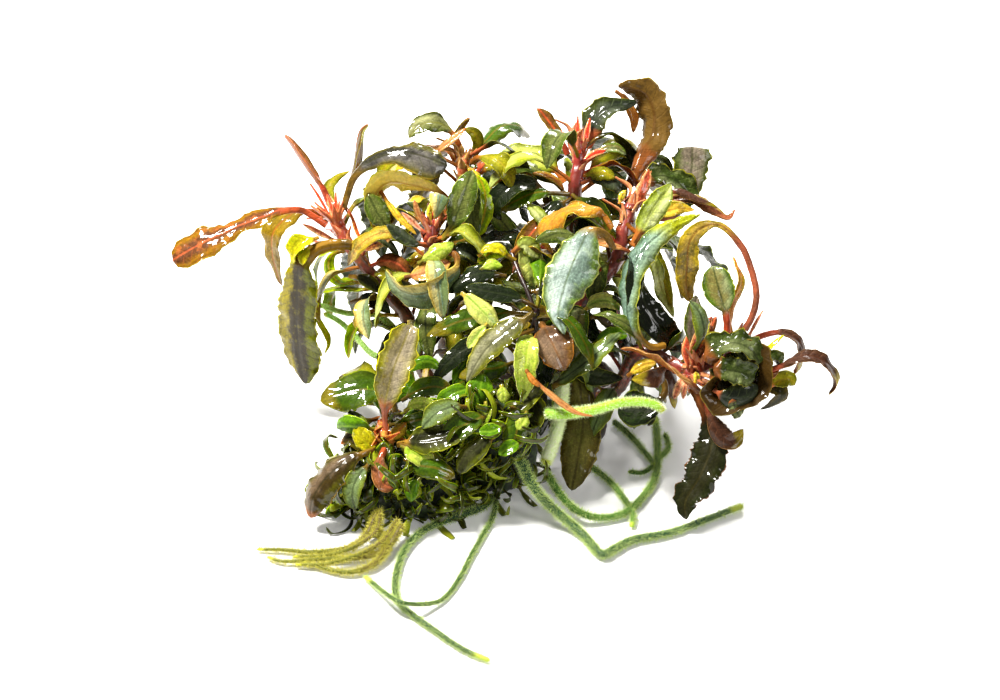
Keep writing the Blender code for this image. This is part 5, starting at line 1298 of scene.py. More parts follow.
# Leaves at the back, also fused to their shoot: look, width, facing and places, the last two real
BACK_LEAVES = """
shoot_left
speckled 4.2 -.2 .7 .7 | real -21.2 19.6 24,-19.4 24.4 25.4,-17.4 28.6 23,-16.6 31.8 17.5,
 -16.2 33.4 11
glossy_green 3.8 -.6 .6 .5 | real -19.2 17.6 20.6,-20.4 23 19.6,-19.9 26.8 14.8,-19.6 29.2 9,
 -20 30.4 3.6
shoot_back_left
olive_arch 4.4 -.3 .75 .6 | real -5.4 25.3 29.5,-7.2 29.6 30.4,-9.2 33.6 26.6,-10.8 36.2 20,
 -11.4 37.4 14
green_right 4.4 .1 .75 .65 | real -5 25 26,-2.6 30 28,-1 34.4 24.4,0 37 19,.2 38.2 14.6
striped 3.8 -.5 .6 .62 | real -4.6 24.7 20.5,-8.2 28.8 21,-11.2 31.4 16.6,-13.2 32.8 11,-14 33.4 6
shoot_back_right
green_right 4.6 .1 .75 .65 | real 9.5 23.2 31,11.4 29 32.4,13.2 33.4 29,14.6 36.8 22.4,15 38.4 15.4
olive_arch 4.2 .4 .65 .65 | real 9.1 22 28,15 28.2 28.4,19.4 32.2 24.6,22.2 35 18.4,23.6 36.6 12.4
speckled 3.8 -.1 .7 .7 | real 9.2 23 22,8.4 28.2 23.4,7.2 32.2 21.4,6.4 34.8 17.6
glossy_green 4 .6 .45 .65 | real 9 22.8 20.5,15.2 26 22.4,20 28.4 18.6,23 29.6 12.4,24.4 30.2 6.4
shoot_right_centre
speckled 4 .5 .5 .7 | real 14.9 12.3 25.3,21 18.6 22.8,25.4 22.6 20.2,28.2 25.6 14.8,29.2 27.2 9
shoot_right
green_right 3.6 .1 .65 .7 | real 23.4 -.2 15.8,24.4 6 15.2,23.8 12 13,23.2 16.4 8.6,23 18.8 4.2
glossy_green 3.4 .1 .65 .7 | real 15 5.5 9.4,16.8 9.6 11,17.6 15 8.4,18.6 19.4 3.8
shoot_low_left
olive_arch 3.6 -.4 .4 .8 | real -14.3 2.6 7.2,-17.2 7.2 9.6,-20 11.8 7.4,-21.2 15.2 3.2
shoot_back
speckled 4.2 -.05 .65 .75 | real 4.8 29.2 13.2,4.2 33.8 15.6,3.6 37 12.6,3.4 38.8 7.6,3.6 39.7 3
green_right 4 -.3 .55 .75 | real 4.7 29 12,-2.2 32 12.8,-7.4 34.8 9.6,-10.8 36.4 4.4
olive_arch 4 .3 .55 .75 | real 4.8 29 12.2,11 31.6 13.2,16 33.6 9.8,19.2 35 4.2
striped 3.8 .15 .65 .75 | real 4.8 29.2 12.8,8.8 34.2 12.6,10.6 37.4 8.6,11.4 39 3.4
"""

# %% [markdown]
# ## Buds
#
# The newest growth is a tuft of fleshy bracts and thread-like stipules, coral red on the left,
# bright red at the back and salmon on the right, with a glassy look because light passes through.

# %% Buds


def bud_finish(name, middle, edge, stalk):
    """The finish of a fleshy bract from the colours of its middle, its edge and its foot."""
    return leaf_finish(name, middle, edge, edge, stalk, edge, specks=0.1, grain=0.04, contrast=2.2,
                       roughness=0.3, coat=0.8, coat_roughness=0.06, sheen=(255, 235, 235), subsurface=0.25)


# Buds: name of the look, and the colours of the middle, the edge and the foot of a bract
BUD_LOOKS = """
coral_bract: middle 212 80 60, edge 230 150 118, stalk 176 54 42
maroon_bract: middle 160 60 50, edge 216 140 116, stalk 130 40 36
peach_bract: middle 186 118 74, edge 214 172 124, stalk 150 84 50
red_bract: middle 226 74 58, edge 232 164 140, stalk 150 42 34
salmon_bract: middle 164 74 58, edge 222 156 124, stalk 130 56 44
orange_bract: middle 188 92 52, edge 214 156 90, stalk 160 64 44
pink_stipule: middle 222 158 140, edge 232 190 170, stalk 206 100 90
yellow_bud: middle 200 190 60, edge 214 210 110, stalk 206 150 70
"""
bud_finishes = {name.split("_")[0]: bud_finish(name, **look) for name, look in settings_of(BUD_LOOKS).items()}

# Buds: shoot, middle, the way they point, bracts, their length, width and spread, look
BUDS = (
    ("shoot_left", seen(-21.3, 16.6, -1.8), seen_way(-0.3, 0.9, 0.2), 9, 5.0, 0.9, 0.55, "coral"),
    ("shoot_centre_left", seen(-8.6, 15.4, 1.9), seen_way(0.0, 1.0, 0.2), 7, 3.6, 0.9, 0.5, "maroon"),
    ("shoot_back_left", seen(-4.7, 24.2, -3.5), seen_way(0.0, 1.0, 0.1), 6, 3.4, 0.8, 0.5, "peach"),
    ("shoot_back_right", seen(10.1, 25.0, -0.9), seen_way(0.0, 1.0, 0.1), 9, 4.0, 0.9, 0.28, "red"),
    ("shoot_right_centre", seen(17.3, 19.0, 3.4), seen_way(0.3, 0.95, 0.0), 4, 2.8, 0.9, 0.2, "salmon"),
    ("shoot_right", seen(25.8, -2.0, 9.8), seen_way(0.0, 0.95, 0.2), 10, 4.6, 1.1, 0.5, "salmon"),
    ("shoot_low_left", seen(-14.6, -12.4, 10.4), seen_way(-0.1, 0.9, 0.5), 6, 3.2, 0.8, 0.5, "orange"),
    ("shoot_back", real(4.8, 29.1, 13.0), Vector((0.0, 0.5, 0.85)), 6, 3.4, 0.8, 0.5, "salmon"),
)
GOLDEN_ANGLE = math.radians(137.5)
GOLDEN_SHARE = 0.618
# Sheaths: how far they reach down from the bud, their step, length and width, in millimetres
SHEATH_REACH, SHEATH_STEP, SHEATH_LENGTH, SHEATH_WIDTH = 6.0, 0.7, 3.6, 1.3


def outwards(ahead, index, start=0.0):
    """The way out of a stem for a leaf of this number, a golden angle on from the one before."""
    return Matrix.Rotation(index * GOLDEN_ANGLE + start, 3, ahead) @ ahead.orthogonal().normalized()


def varied(index, least, more, rate=GOLDEN_SHARE):
    """A size that changes from leaf to leaf, from the least to so much more, in a fixed order."""
    return least + more * ((index * rate) % 1.0)


def bracts(number, middle, ahead, count, length, width, spread, look):
    """A whorl of pointed bracts around a bud."""
    made = []
    for index in range(count):
        out = outwards(ahead, index, number)
        size = length * varied(index, 0.65, 0.35) * MM
        lean = spread * varied(index, 0.55, 0.45, 0.382)
        start = middle + out * 0.45 * MM - ahead * size * 0.25
        route = [start, start + (ahead + out * lean * 0.5) * size * 0.4,
                 start + (ahead + out * lean) * size * 0.75, start + (ahead + out * lean * 1.2) * size]
        made.append(make_leaf(
            f"bract_{number}_{index}", route, (ahead * 0.2 - out).normalized(), width, 0.05, 0.35,
            bud_finishes[look], stalk_width=width * 0.8, thickness=0.4, sides=12, spacing=0.3,
            wave_height=0.03, midrib=0.02, wrinkle=0.03, buckle=0.02, fold=0.3, veins=0.01))
    return made


def sheaths(shoot, look):
    """Pointed bracts that hug the last few millimetres of a stem."""
    path = smooth_path(STEMS[shoot][2], SHEATH_STEP)
    ways = tangents(path)
    made = []
    for index in range(max(0, len(path) - round(SHEATH_REACH / SHEATH_STEP)), len(path) - 1):
        ahead = ways[index]
        out = outwards(ahead, index)
        size = SHEATH_LENGTH * varied(index, 0.7, 0.5) * MM
        start = path[index] + out * 0.5 * MM
        route = [start, start + (ahead + out * 0.12) * size * 0.35, start + (ahead + out * 0.22) * size * 0.7,
                 start + (ahead + out * (0.25 + 0.3 * (index % 3))) * size]
        made.append(make_leaf(
            f"{shoot}_sheath_{index}", route, (ahead * 0.1 - out).normalized(), SHEATH_WIDTH, 0.04, 0.3,
            bud_finishes[look], stalk_width=SHEATH_WIDTH * 0.9, thickness=0.3, sides=12, spacing=0.35,
            wave_height=0.1, midrib=0.02, wrinkle=0.04, buckle=0.05, fold=0.35, veins=0.01))
    return made


print("buds", len(BUDS))

# %% [markdown]
# ## Small things that the photograph shows
#
# Stipules like threads, stubs of old leaf stalks, yellow new tips, curled lime scraps and cream
# leaves in the dark middle: none is big enough for a solid of its own, but together they make this
# clump this one. They are leaves too, so they only need a row in a table.

# %% Small extra leaves
# Extras under their shoot: look, width, stalk share, facing, and places
EXTRAS = """
shoot_left
coral .45 .1 .3 .2 .9 | -21.6 16.4 -2,-22.8 18.6 -2.2,-24 20.6 -2.6,-24.8 21.8 -3
pink .9 .1 .1 .5 .85 | -21 14 -1.5,-23 15 -1.4,-24.6 15.9 -1.4,-25.7 16.4 -1.4
pink .7 .1 .1 .5 .85 | -20.9 13.2 -1.2,-22.8 13.6 -1,-24.4 14.3 -1
orange .6 .1 .4 .2 .9 | -20 18.4 -2.2,-19.2 17.2 -1.4,-18.5 15.2 -1,-17.5 13.5 -.8
peach 1.9 .1 .2 -.2 .95 | -18.4 12.8 -.6,-17 13.6 .2,-15.4 14.4 .4,-14 14.9 .2
grey_olive 1.9 .2 0 .3 .95 | -19.6 9.6 -1.6,-18 9.4 -.9,-16.6 8.6 -.7,-15.4 7.4 -.8
black_glossy 2.2 .2 0 .3 .95 | -19.4 6.2 -3,-17.6 6.6 -2.2,-15.8 6 -1.8,-14.2 4.8 -1.8
mustard 1.6 .2 -.3 .2 .9 | -15.6 5.4 -3,-17.2 4.8 -2.6,-18.6 3.6 -2.6,-17.4 1.8 -3
yellow_leaf 2.8 .1 -.5 .5 .7 | -23.6 14.6 2.4,-25 14.2 3,-26.4 13 3,-27.3 11.2 2.4
yellow_leaf 1.6 .1 -.2 .1 .95 | -24.6 13.6 3.2,-25.6 12.4 3.8,-25.7 11 3.8
yellow_leaf 1 .2 .6 0 .8 | -24.6 6.4 -.6,-23.6 3.8 -1.4,-22.3 1.2 -2.4,-22.8 -.6 -3
speckled 3 .15 -.2 .2 .95 | -17.6 21 -.6,-16.8 19.6 .2,-15.8 17.6 .4,-14.4 15.6 .2
mustard 1.1 .15 .4 .3 .85 | -15.6 20.8 -1.2,-14.6 19.2 -.6,-13 17 .2,-10.8 15 .8
rust 2.4 .2 .2 .1 .95 | -17.4 10.6 -2.2,-15 11.6 -1,-13 11 -.4,-11.6 9.2 -.4
shoot_centre_left
peach_leaf 2.6 .1 0 .3 .95 | -12.4 9.4 4.2,-10.4 9.9 4.8,-8.2 10.6 4.8,-6.4 11.6 4.2
pale_lime 2.3 .1 .1 .4 .9 | -10.6 11.2 4.6,-9 12.3 5.2,-7.4 13.2 5,-6 14 4.4
slate 2.2 .1 .1 .5 .85 | -6.6 12.4 3.8,-5.2 13 4.2,-3.8 12.5 4.2,-2.6 11.4 3.8
yellow .8 .1 .1 0 1 | -9 16.2 2.6,-9.2 17.8 2.8,-8.8 19.4 2.8
tan_thin .9 .1 .3 0 .95 | -9.6 16 2.4,-10.6 17.6 2.4,-11.2 19.6 2.2
tan_thin .8 .1 .3 0 .95 | -8.2 16 2.6,-7.6 17.6 2.8,-8 18.9 2.8
pink .9 .1 .2 .3 .9 | -9.8 15.2 2.8,-11.4 16.6 3,-12.8 17.9 2.8
glossy_green 3 .15 .1 .2 .95 | -8 13 .2,-5.4 14.2 1,-3.2 13.4 1.4,-1.6 11.2 1.4
shoot_back_left
tan_thin 1.2 .1 .1 .6 .8 | -9.2 25 -2.6,-7.4 26.4 -2.2,-5.8 27.6 -2.2,-4.4 28.9 -2.4
tan_thin 1 .1 .1 .6 .8 | -4.9 25 -3,-6.6 26.2 -2.8,-8.8 26.4 -2.6,-10.4 26.6 -2.8
mustard 1.5 .1 .6 .2 .8 | -4.6 24.2 -3,-3.4 22.8 -2,-2.6 21.2 -1.6,-2.7 19.4 -1.4
golden 2.2 .1 0 .5 .85 | -2 20.6 -1.8,.6 21.9 -1.2,3 21.8 -1.2,5.4 20.6 -1.4
olive_arch 2.4 .1 0 .5 .85 | -3 22.6 -5.6,-.6 24.2 -5.2,1.8 23.6 -4.8,3.4 21.8 -4.6
peach 1.6 .1 .1 .1 1 | -4.6 21.4 -2.6,-4 19.8 -1.6,-3.4 18.4 -1
shoot_back_right
black_glossy 3.3 .1 .1 .6 .8 | 6.4 20.4 -.8,4 21.6 .2,1.4 20.9 .8,-.6 18.8 .6,.2 16.8 .4
pale_ellipse 2 .1 .2 .4 .9 | 3 19.4 .8,4.4 18.4 1.4,5.6 16.8 1.6,5 15.4 1.4
golden 1.3 .1 0 .8 .6 | 3.4 22.9 -1.6,5.4 22.8 -1.2,7.2 22 -1,8.4 20.8 -.9
orange_leaf 1.9 .1 .7 .1 .7 | 15 33.7 -3.8,16.6 32.4 -4.4,17.5 30.4 -4.6,17.4 28.2 -4.4
red .8 .1 .1 .1 1 | 10.8 25.6 -.8,11.3 28.2 -1.2,11.7 30.2 -1.6
pink .7 .1 .1 .1 1 | 9.9 26.4 -.4,9.4 28.2 -.4,9.9 29.6 -.6
red .9 .1 .1 .3 .95 | 10.6 24.4 0,12.4 25.6 .4,14 25.9 .4
slate 2.8 .1 .1 .4 .9 | 10.6 21.6 .2,13 22.6 1,15.4 21.6 1.4,16.4 19.6 1.2
glossy_green 3.2 .1 .1 .4 .9 | 9.4 20.2 0,11.4 18.6 1.8,13.2 16.8 2.4,13.8 14.4 2.2
black_glossy 2.8 .1 -.2 .4 .9 | 9.2 19.6 -.4,7 18.4 .6,5.6 16.4 1,5.2 14 1
shoot_right_centre
crinkled 3.2 .1 0 .6 .8 | 18.4 21.4 1.6,20.4 22.6 .8,22.6 22.2 .2,24.2 20.4 0,24 18.6 .2
yellow .9 .1 0 .1 1 | 15.6 19 4.4,15.8 20 4.6,16.4 20.8 4.4
tan_thin 1.5 .1 0 .7 .7 | 16.8 12.8 5.6,14.8 13.6 6.2,12.8 13.9 6.4,11.2 14.4 6.2
salmon 1.5 .1 .3 .1 .95 | 17.6 18 4.2,18.4 20 4.4,19 22 4,19.4 23.6 3.4
mustard 2 .3 .2 .3 .9 | 18.6 16.6 3.6,20.6 17.6 3.4,23 18.4 3,25.4 18.2 2.6
mauve 1.8 .2 .1 .8 .5 | 20.6 20.2 2.4,23.4 20.6 2.2,26 19.6 2.2,28.4 18.6 2
speckled 2.8 .1 .3 .2 .95 | 14.8 11.6 4.6,13 10.4 5.2,12.2 8 5.2,12.6 5.8 4.8
olive_arch 2.2 .1 -.2 .2 .95 | 16.4 16.4 5.6,18.6 14.4 6,20.2 11.6 5.6,21.4 8.4 5,22.4 5.4 4.6
shoot_right
salmon 1.7 .1 .2 0 1 | 25 -3 10.4,25.2 -.4 10.8,26.2 2.2 10.6,27.6 4.4 10.2
salmon 1.3 .1 -.2 0 1 | 24.6 -2.8 10.2,24.2 -.2 10.6,24.4 2 10.4
pink 1.1 .1 0 .2 .95 | 24 -3.2 10.4,23.2 -4.8 10.8,22.6 -6.4 10.8
pink .9 .1 0 .2 .95 | 24.4 -3.4 10.6,24 -5 11,23.8 -6.4 11
yellow 1.2 .1 .1 .1 1 | 26.2 .8 11,26.5 2.4 11.2,27.1 4 11
yellow .9 .1 .1 .1 1 | 25.3 -4.4 11.2,25.6 -3.6 11.6,25.4 -2.8 11.6
pink .45 .1 .1 .1 1 | 30.2 .8 10.6,30.9 2.2 10.6,31.6 3.6 10.6
pink .5 .1 .1 .1 1 | 32 1.2 10.6,33.2 3.4 10.6,34.2 5.2 10.6
yellow_leaf .8 .1 -.5 .5 .7 | 32.8 -1.8 11.4,34.2 -.6 11.4,36.9 2 11.2
crinkled 3.9 .1 0 .5 .85 | 27.2 -1.4 13,28.2 .2 14,30.4 .9 14.6,32.6 0 14.4,33.8 -1.8 13.8
crinkled 3.6 .1 .1 .1 1 | 28 -2.6 14.6,29.6 -2.6 15.2,31.6 -3 15.2,33.2 -3.8 14.6
slate 3.6 .1 0 -.3 .95 | 27.8 -5.2 13.8,29.6 -6.2 14.6,31.8 -6 14.8,33.6 -4.6 14.2
crinkled 4.6 .1 .1 .2 1 | 28 -5 11.6,29.4 -3.6 12.2,31.4 -2.2 12.4,33.4 -1.6 12
rolled 3.8 .1 .1 .4 .9 | 27.6 -3.6 12.4,29.4 -4.4 13.2,31.6 -4.6 13.4,33.6 -5.2 12.8
crinkled 1.7 .1 0 0 1 | 30.2 -6.4 14.4,30.6 -7.6 14.6,31.2 -8.8 14.2
crinkled 2 .1 .1 .5 .85 | 33 -1.8 9.4,34.4 -.9 9.6,35.6 -1.2 9.4,36.6 -2 9
olive_arch 2.2 .1 .1 .2 .95 | 35 -4.8 8.6,36.2 -4 8.8,37.6 -3.8 8.6,38.4 -4.6 8.2
rust 1.8 .1 .1 .7 .7 | 33.6 -4.2 9.6,34.8 -3 9.8,36.3 -2.5 9.6
shoot_low_left
yellow_leaf 2.6 .1 -.2 .2 .95 | -15.8 -13.4 10.8,-16.8 -12.4 11.4,-17.9 -11.3 11.4,-18.8 -10 11
olive_strap 1.8 .1 .1 .3 .95 | -14.4 -12 11.2,-13.4 -10.8 11.6,-12.2 -9.4 11.4
pale_lime 2.8 .1 .1 .2 .95 | -12.8 -12.4 12.6,-11.4 -13.2 13.4,-9.8 -14.2 13.4,-8.6 -15 13
baby_green 2.6 .1 0 .4 .9 | -13.4 -9.6 9.4,-11.2 -8.6 10,-8.8 -8.8 10.2,-6.6 -9.8 10
glossy_green 2.8 .1 .2 .4 .9 | -12.8 -6.6 8.8,-10.4 -5.2 9.2,-8.2 -4.8 9.4,-6.2 -5.6 9.2
baby_green 1.8 .1 -.3 .2 .9 | -12.6 -3.4 8.6,-10.8 -1.8 9,-9 -1.6 9.2,-7.6 -2.6 9
pale_lime 1.8 .1 -.1 .2 .95 | -12.4 -8 10.6,-11 -7 11.2,-9.4 -7.2 11.4,-8.4 -8.4 11.2
shoot_centre
cream 3 .05 .2 .2 .95 | -5 7.4 9.4,-3.6 6.4 10.2,-2 4.8 10.6,-.2 3 10.4
cream 1.5 .05 -.2 .1 .95 | -1.6 3.4 10.8,-2.8 2.2 11,-4.2 .2 10.8
baby_green 3.5 .1 .1 .3 .95 | -2.4 -2.6 10.8,-2.4 -4 11.6,-2.8 -5.8 12,-3.1 -7.6 11.8
pale_lime 1.8 .1 .1 .3 .95 | -1.8 -6.8 11.8,-2 -8 12.6,-2.5 -9.9 12.6
pale_lime 1.7 .1 .1 .3 .95 | .2 -4.6 12,.4 -5.6 12.6,.6 -7 12.6
tan_thin 1 .2 .1 .6 .8 | 3.4 -2.8 12.8,5.4 -4.8 13.6,8 -7 14.4,10 -8.2 14.6,12.2 -8.6 14.4
orange_leaf .9 .1 .1 .3 .95 | 3.4 -2.6 13.2,4.2 -3.8 13.8,5.2 -4.8 14
cream 2.2 .1 0 .4 .9 | 10.8 5 5.8,12.4 6.2 6.4,14 6.3 6.4,15.6 5.2 6
low_olive 2.4 .1 0 .4 .9 | 11.8 4.2 7,13.2 4.4 7.4,14.6 3.8 7.4,15.8 2.4 7
baby_green 2 .1 0 .4 .9 | 12 .8 7.4,13.6 1.6 7.8,15 2 7.8,16.6 1.8 7.4
mustard 1.7 .1 0 .4 .9 | 16.6 -3.4 9.4,17.8 -2.4 9.8,19 -1.8 9.8,20.4 -1.6 9.4
black_glossy 4.2 .1 -.1 .5 .85 | 3.6 1.6 6.4,5.4 -.4 7.6,5.2 -3 8,3.6 -5.6 7.6
glossy_green 3 .1 0 .5 .85 | 1.8 -1.6 8.4,-.4 -2.4 9.8,-3 -2.6 10.2,-5.4 -3.6 9.8
baby_green 2.4 .1 -.2 .4 .9 | -3.4 -5.2 9.6,-5.2 -5.4 10.4,-7 -6.4 10.6,-8.2 -8 10.4
grey_olive 3 .1 -.2 .4 .9 | 3.2 -6 10,4.6 -7 11,4.2 -9 11.6,2.6 -11 11.4
glossy_green 3.4 .1 .1 .4 .9 | -1.4 -8.6 12.4,-3.4 -9.2 13.4,-5.6 -10.4 13.6,-7.6 -12.4 13.2
glossy_green 3.2 .1 .3 .3 .9 | 1.2 -6.8 12.6,2.2 -8.6 13.4,2 -11.2 13.6,.6 -13.6 13.2
striped 3 .1 -.2 .4 .9 | -4.4 -7.4 12.4,-6.2 -7.4 13.4,-8.4 -8.4 13.6,-10.2 -10.2 13.2
grey_olive 2.8 .1 .1 .4 .9 | -.4 -11 13.2,-2.2 -12.2 14,-4.2 -14 14,-5.4 -16.2 13.4
baby_green 2.2 .1 .1 .4 .9 | .4 -9.8 13.6,-1 -10.6 14.2,-2.8 -10.6 14.2
pale_lime 1.7 .1 .1 .4 .9 | 3.4 -8 13.4,3 -9.2 14,2.2 -10.4 14
baby_green 1.9 .1 .1 .4 .9 | 2.8 -12 13.4,1.4 -12.6 14,-.2 -13.6 13.8
shoot_low_left
glossy_green 3 .1 .1 .3 .95 | -12.4 -14.2 12.8,-10.6 -15 13.8,-8.2 -15.4 14,-5.8 -16.6 13.4
striped 2.6 .1 -.2 .3 .95 | -16.8 -14.6 12.4,-18.4 -16.4 13.4,-19.2 -18.6 13.6,-18.8 -20.8 13
baby_green 1.8 .1 .2 .3 .95 | -10.4 -16.6 13.6,-11.4 -18 14.2,-11.6 -19.8 14
shoot_centre
yellow_leaf 1.6 .1 .1 .4 .9 | -2.8 12.2 5.6,-1.6 13.2 6,-.2 13.2 6,.8 12.2 5.8
pale_lime 1.5 .1 .1 .4 .9 | -2.6 10.4 6,-1.2 11.2 6.4,.4 10.9 6.4
cream 3.4 .1 .1 .2 .95 | 2.8 14.8 3.4,3.6 13 3.8,4.2 10.8 3.8,4.4 8.2 3.4
black_glossy 3 .1 0 .6 .8 | .8 9.6 6,-2 10 6.4,-4.6 9.2 6.6,-6.6 7.4 6.4
black_glossy 3.2 .1 .1 .5 .85 | 3.6 7.6 6.4,6 7.4 7,8 5.6 7,9 3 6.6
"""

# The outline of a crumpled leaf, in shares of its half width
CRUMPLED = ((0.0, 0.4, 0.4), (0.12, 0.8, 0.7), (0.3, 1.0, 0.9), (0.5, 0.85, 1.0), (0.7, 1.0, 0.95),
            (0.88, 0.8, 0.9), (1.0, 0.4, 0.3))
TINY_WIDTH = 1.4


def extra_leaf(number, shoot, look, width, stalk, facing, route):
    """One small extra leaf from its row."""
    tiny = width < TINY_WIDTH
    crinkled = look in ("yellow_leaf", "pale_lime")
    shape = dict(wave_height=0.1 if tiny else 1.1 if crinkled else 0.7,
                 buckle=0.1 if tiny else 0.7 if crinkled else 0.35,
                 ragged=0.2 if crinkled else 0.1, fold=0.3 - 0.5 * (number % 2), wave_rate=0.34)
    if look == "crinkled":
        shape = dict(wave_height=1.7, buckle=1.4, ragged=0.3, fold=0.5, wave_rate=0.55, wrinkle=0.4,
                     outline=[(s, l * width / 2.0, r * width / 2.0) for s, l, r in CRUMPLED])
    return make_leaf(f"{shoot}_extra_{number}", route, seen_way(*facing), width, stalk, 0.55,
                     {**leaf_finishes, **bud_finishes}[look], stalk_width=min(width, 0.6), spacing=0.4,
                     sides=12 if tiny else 26, thickness=0.34, midrib=0.04 if tiny else 0.1, **shape)


extras = list(shapes_of(EXTRAS))
print("extra leaves", len(extras))

# %% [markdown]
# ## Leaves along the stems
#
# Between the large leaves every stem is clothed in short ones, and they are what makes the clump
# look full. They follow the same rule as the bud: one leaf for every step along the stem, each a
# golden angle on from the last, so no two hide each other. Sizes and looks take turns in a fixed
# order, which gives variety without anything random.

# %% Leaves along the stems
# Clothing: shoot, first and last share of the stem, step, length and width in millimetres, and looks
CLOTHING = [words_of(row) for row in rows_of("""
shoot_left .1 .8 1.1 7.5 2.4 olive_arch speckled smile slate lime
shoot_centre_left .1 .97 .9 9 2.8 speckled olive_arch smile black_glossy tan_bend pale_broad
shoot_back_left .25 .97 1.1 9.5 3 speckled glossy_green olive_arch slate mustard
shoot_back_right .2 .94 1.1 9.5 3 glossy_green speckled black_glossy olive_arch pale_broad red_brown
shoot_right_centre .1 .8 1 9 2.8 black_glossy speckled green_right striped hooked
shoot_right .05 .85 1.1 7.5 2.5 striped glossy_green mauve speckled
shoot_low_left .05 .85 1.1 7 2.4 glossy_green baby_green olive_arch
shoot_centre .08 .97 .9 9.5 3 black_glossy glossy_green baby_green striped speckled pale_lime grey_olive
shoot_back .1 .9 1.2 7.5 2.6 glossy_green olive_arch speckled
""")]
LOWEST_YOUNG_LEAF = 0.6 * MM


def clothe(shoot, first, last, step, length, width, *looks):
    """Short leaves all along a stem, a golden angle apart."""
    path = smooth_path(STEMS[shoot][2], step)
    ways = tangents(path)
    made = []
    for index in range(int(first * len(path)), int(last * len(path))):
        ahead = ways[index]
        out = outwards(ahead, index)
        size = length * varied(index, 0.7, 0.55) * MM
        drop = Vector((0.0, 0.0, varied(index, 0.0, -0.35, 0.382)))
        sway = ahead.cross(out) * varied(index, -0.5, 1.0, 0.733) * 0.5
        start = path[index]
        route = [start, start + (ahead * 0.45 + out * 0.55) * size * 0.35,
                 start + (ahead * 0.55 + out + sway * 0.5) * size * 0.62,
                 start + (ahead * 0.35 + out * 1.35 + drop + sway) * size * 0.72,
                 start + (ahead * 0.05 + out * 1.5 + drop * 2.2 + sway * 1.4) * size * 0.78]
        if min(point.z for point in route) < LOWEST_YOUNG_LEAF:
            continue
        made.append(make_leaf(
            f"{shoot}_young_{index}", route, (ahead + out * 0.4).normalized(),
            width * varied(index, 0.8, 0.4, 0.472), 0.25, 0.62, leaf_finishes[looks[index % len(looks)]],
            (0.0, 55.0 * math.sin(index * 1.9)), stalk_width=0.55, sides=22, spacing=0.45, wave_height=0.8,
            buckle=0.5, fold=0.4 * math.sin(index * 2.3), midrib=0.08, thickness=0.36))
    return made


print("clothed stems", len(CLOTHING))

# %% Grow the shoots
# How thick a stem is grown, as a share of its solid. The one behind the mat is mostly hidden
STEM_TRIM = 0.78
THIN_STEM_TRIM = 0.38

for number, (shoot, (radius_base, radius_bud, points)) in enumerate(STEMS.items()):
    trim = THIN_STEM_TRIM if shoot == "shoot_centre" else STEM_TRIM
    pieces = [make_tube(shoot + "_stem", points, radius_base * trim, radius_bud * trim,
                        stem_looks[shoot], seed=number * 1.7, ridges=0.22, scars=0.14, lumps=0.2, sides=28)]
    pieces += [make_tube(shoot + "_branch", points, base * trim, bud * trim, stem_looks[shoot])
               for owner, base, bud, points in BRANCHES if owner == shoot]
    pieces += [make_leaf(shoot + "_leaf", route, seen_way(*facing), width, stalk, widest,
                         leaf_finishes[look], stalk_width=SMALL_STALK_WIDTH, sides=28, wave_height=0.85,
                         midrib=0.08, thickness=0.4)
               for owner, (look, width, stalk, widest, *facing), route in shapes_of(SMALL_LEAVES)
               if owner == shoot]
    pieces += [make_leaf(shoot + "_leaf", route, Vector(facing).normalized(), width, 0.2, 0.6,
                         leaf_finishes[look], stalk_width=SMALL_STALK_WIDTH, sides=36)
               for owner, (look, width, *facing), route in shapes_of(BACK_LEAVES)
               if owner == shoot]
    for index, (owner, *bud) in enumerate(BUDS):
        if owner == shoot:
            pieces += bracts(index, *bud) + sheaths(shoot, bud[-1])
    pieces += [extra_leaf(index, shoot, look, width, stalk, facing, route)
               for index, (owner, (look, width, stalk, *facing), route) in enumerate(extras)
               if owner == shoot]
    for owner, *rule in CLOTHING:
        if owner == shoot:
            pieces += clothe(shoot, *rule)
    shown(joined(shoot + "_grown", pieces), shoot)
print("shoots", len(STEMS))

# %% [markdown]
# ## Old rhizomes
#
# The whole clump grows out of a few thick creeping stems that lie on the surface. They are the
# same swept rings, with strong ridges and scars, and the tree keeps every point at or above the
# surface, so they lie flat on it.

# %% Old rhizomes
RHIZOME_TAPER = 0.8
rhizomes = [make_tube(f"rhizome_{number}", points, radius, radius * RHIZOME_TAPER, stem_looks["old_rhizomes"],
                      sides=32, ridges=0.16, scars=0.06, scar_spacing=2.4, lumps=0.18, floor=0.0)
            for number, (radius, points) in enumerate(OLD_RHIZOMES)]
shown(joined("old_rhizomes_grown", rhizomes), "old_rhizomes")
print("rhizomes", len(OLD_RHIZOMES))

# %% [markdown]
# ## Roots
#
# The roots are green where they lie in the light, and all of them carry a fringe of short whitish
# hairs. The tube tree scatters points on the root's surface and stands a three-sided spike on
# each, leaning a little every way, so the fringe shows against the light as it does on the plant.

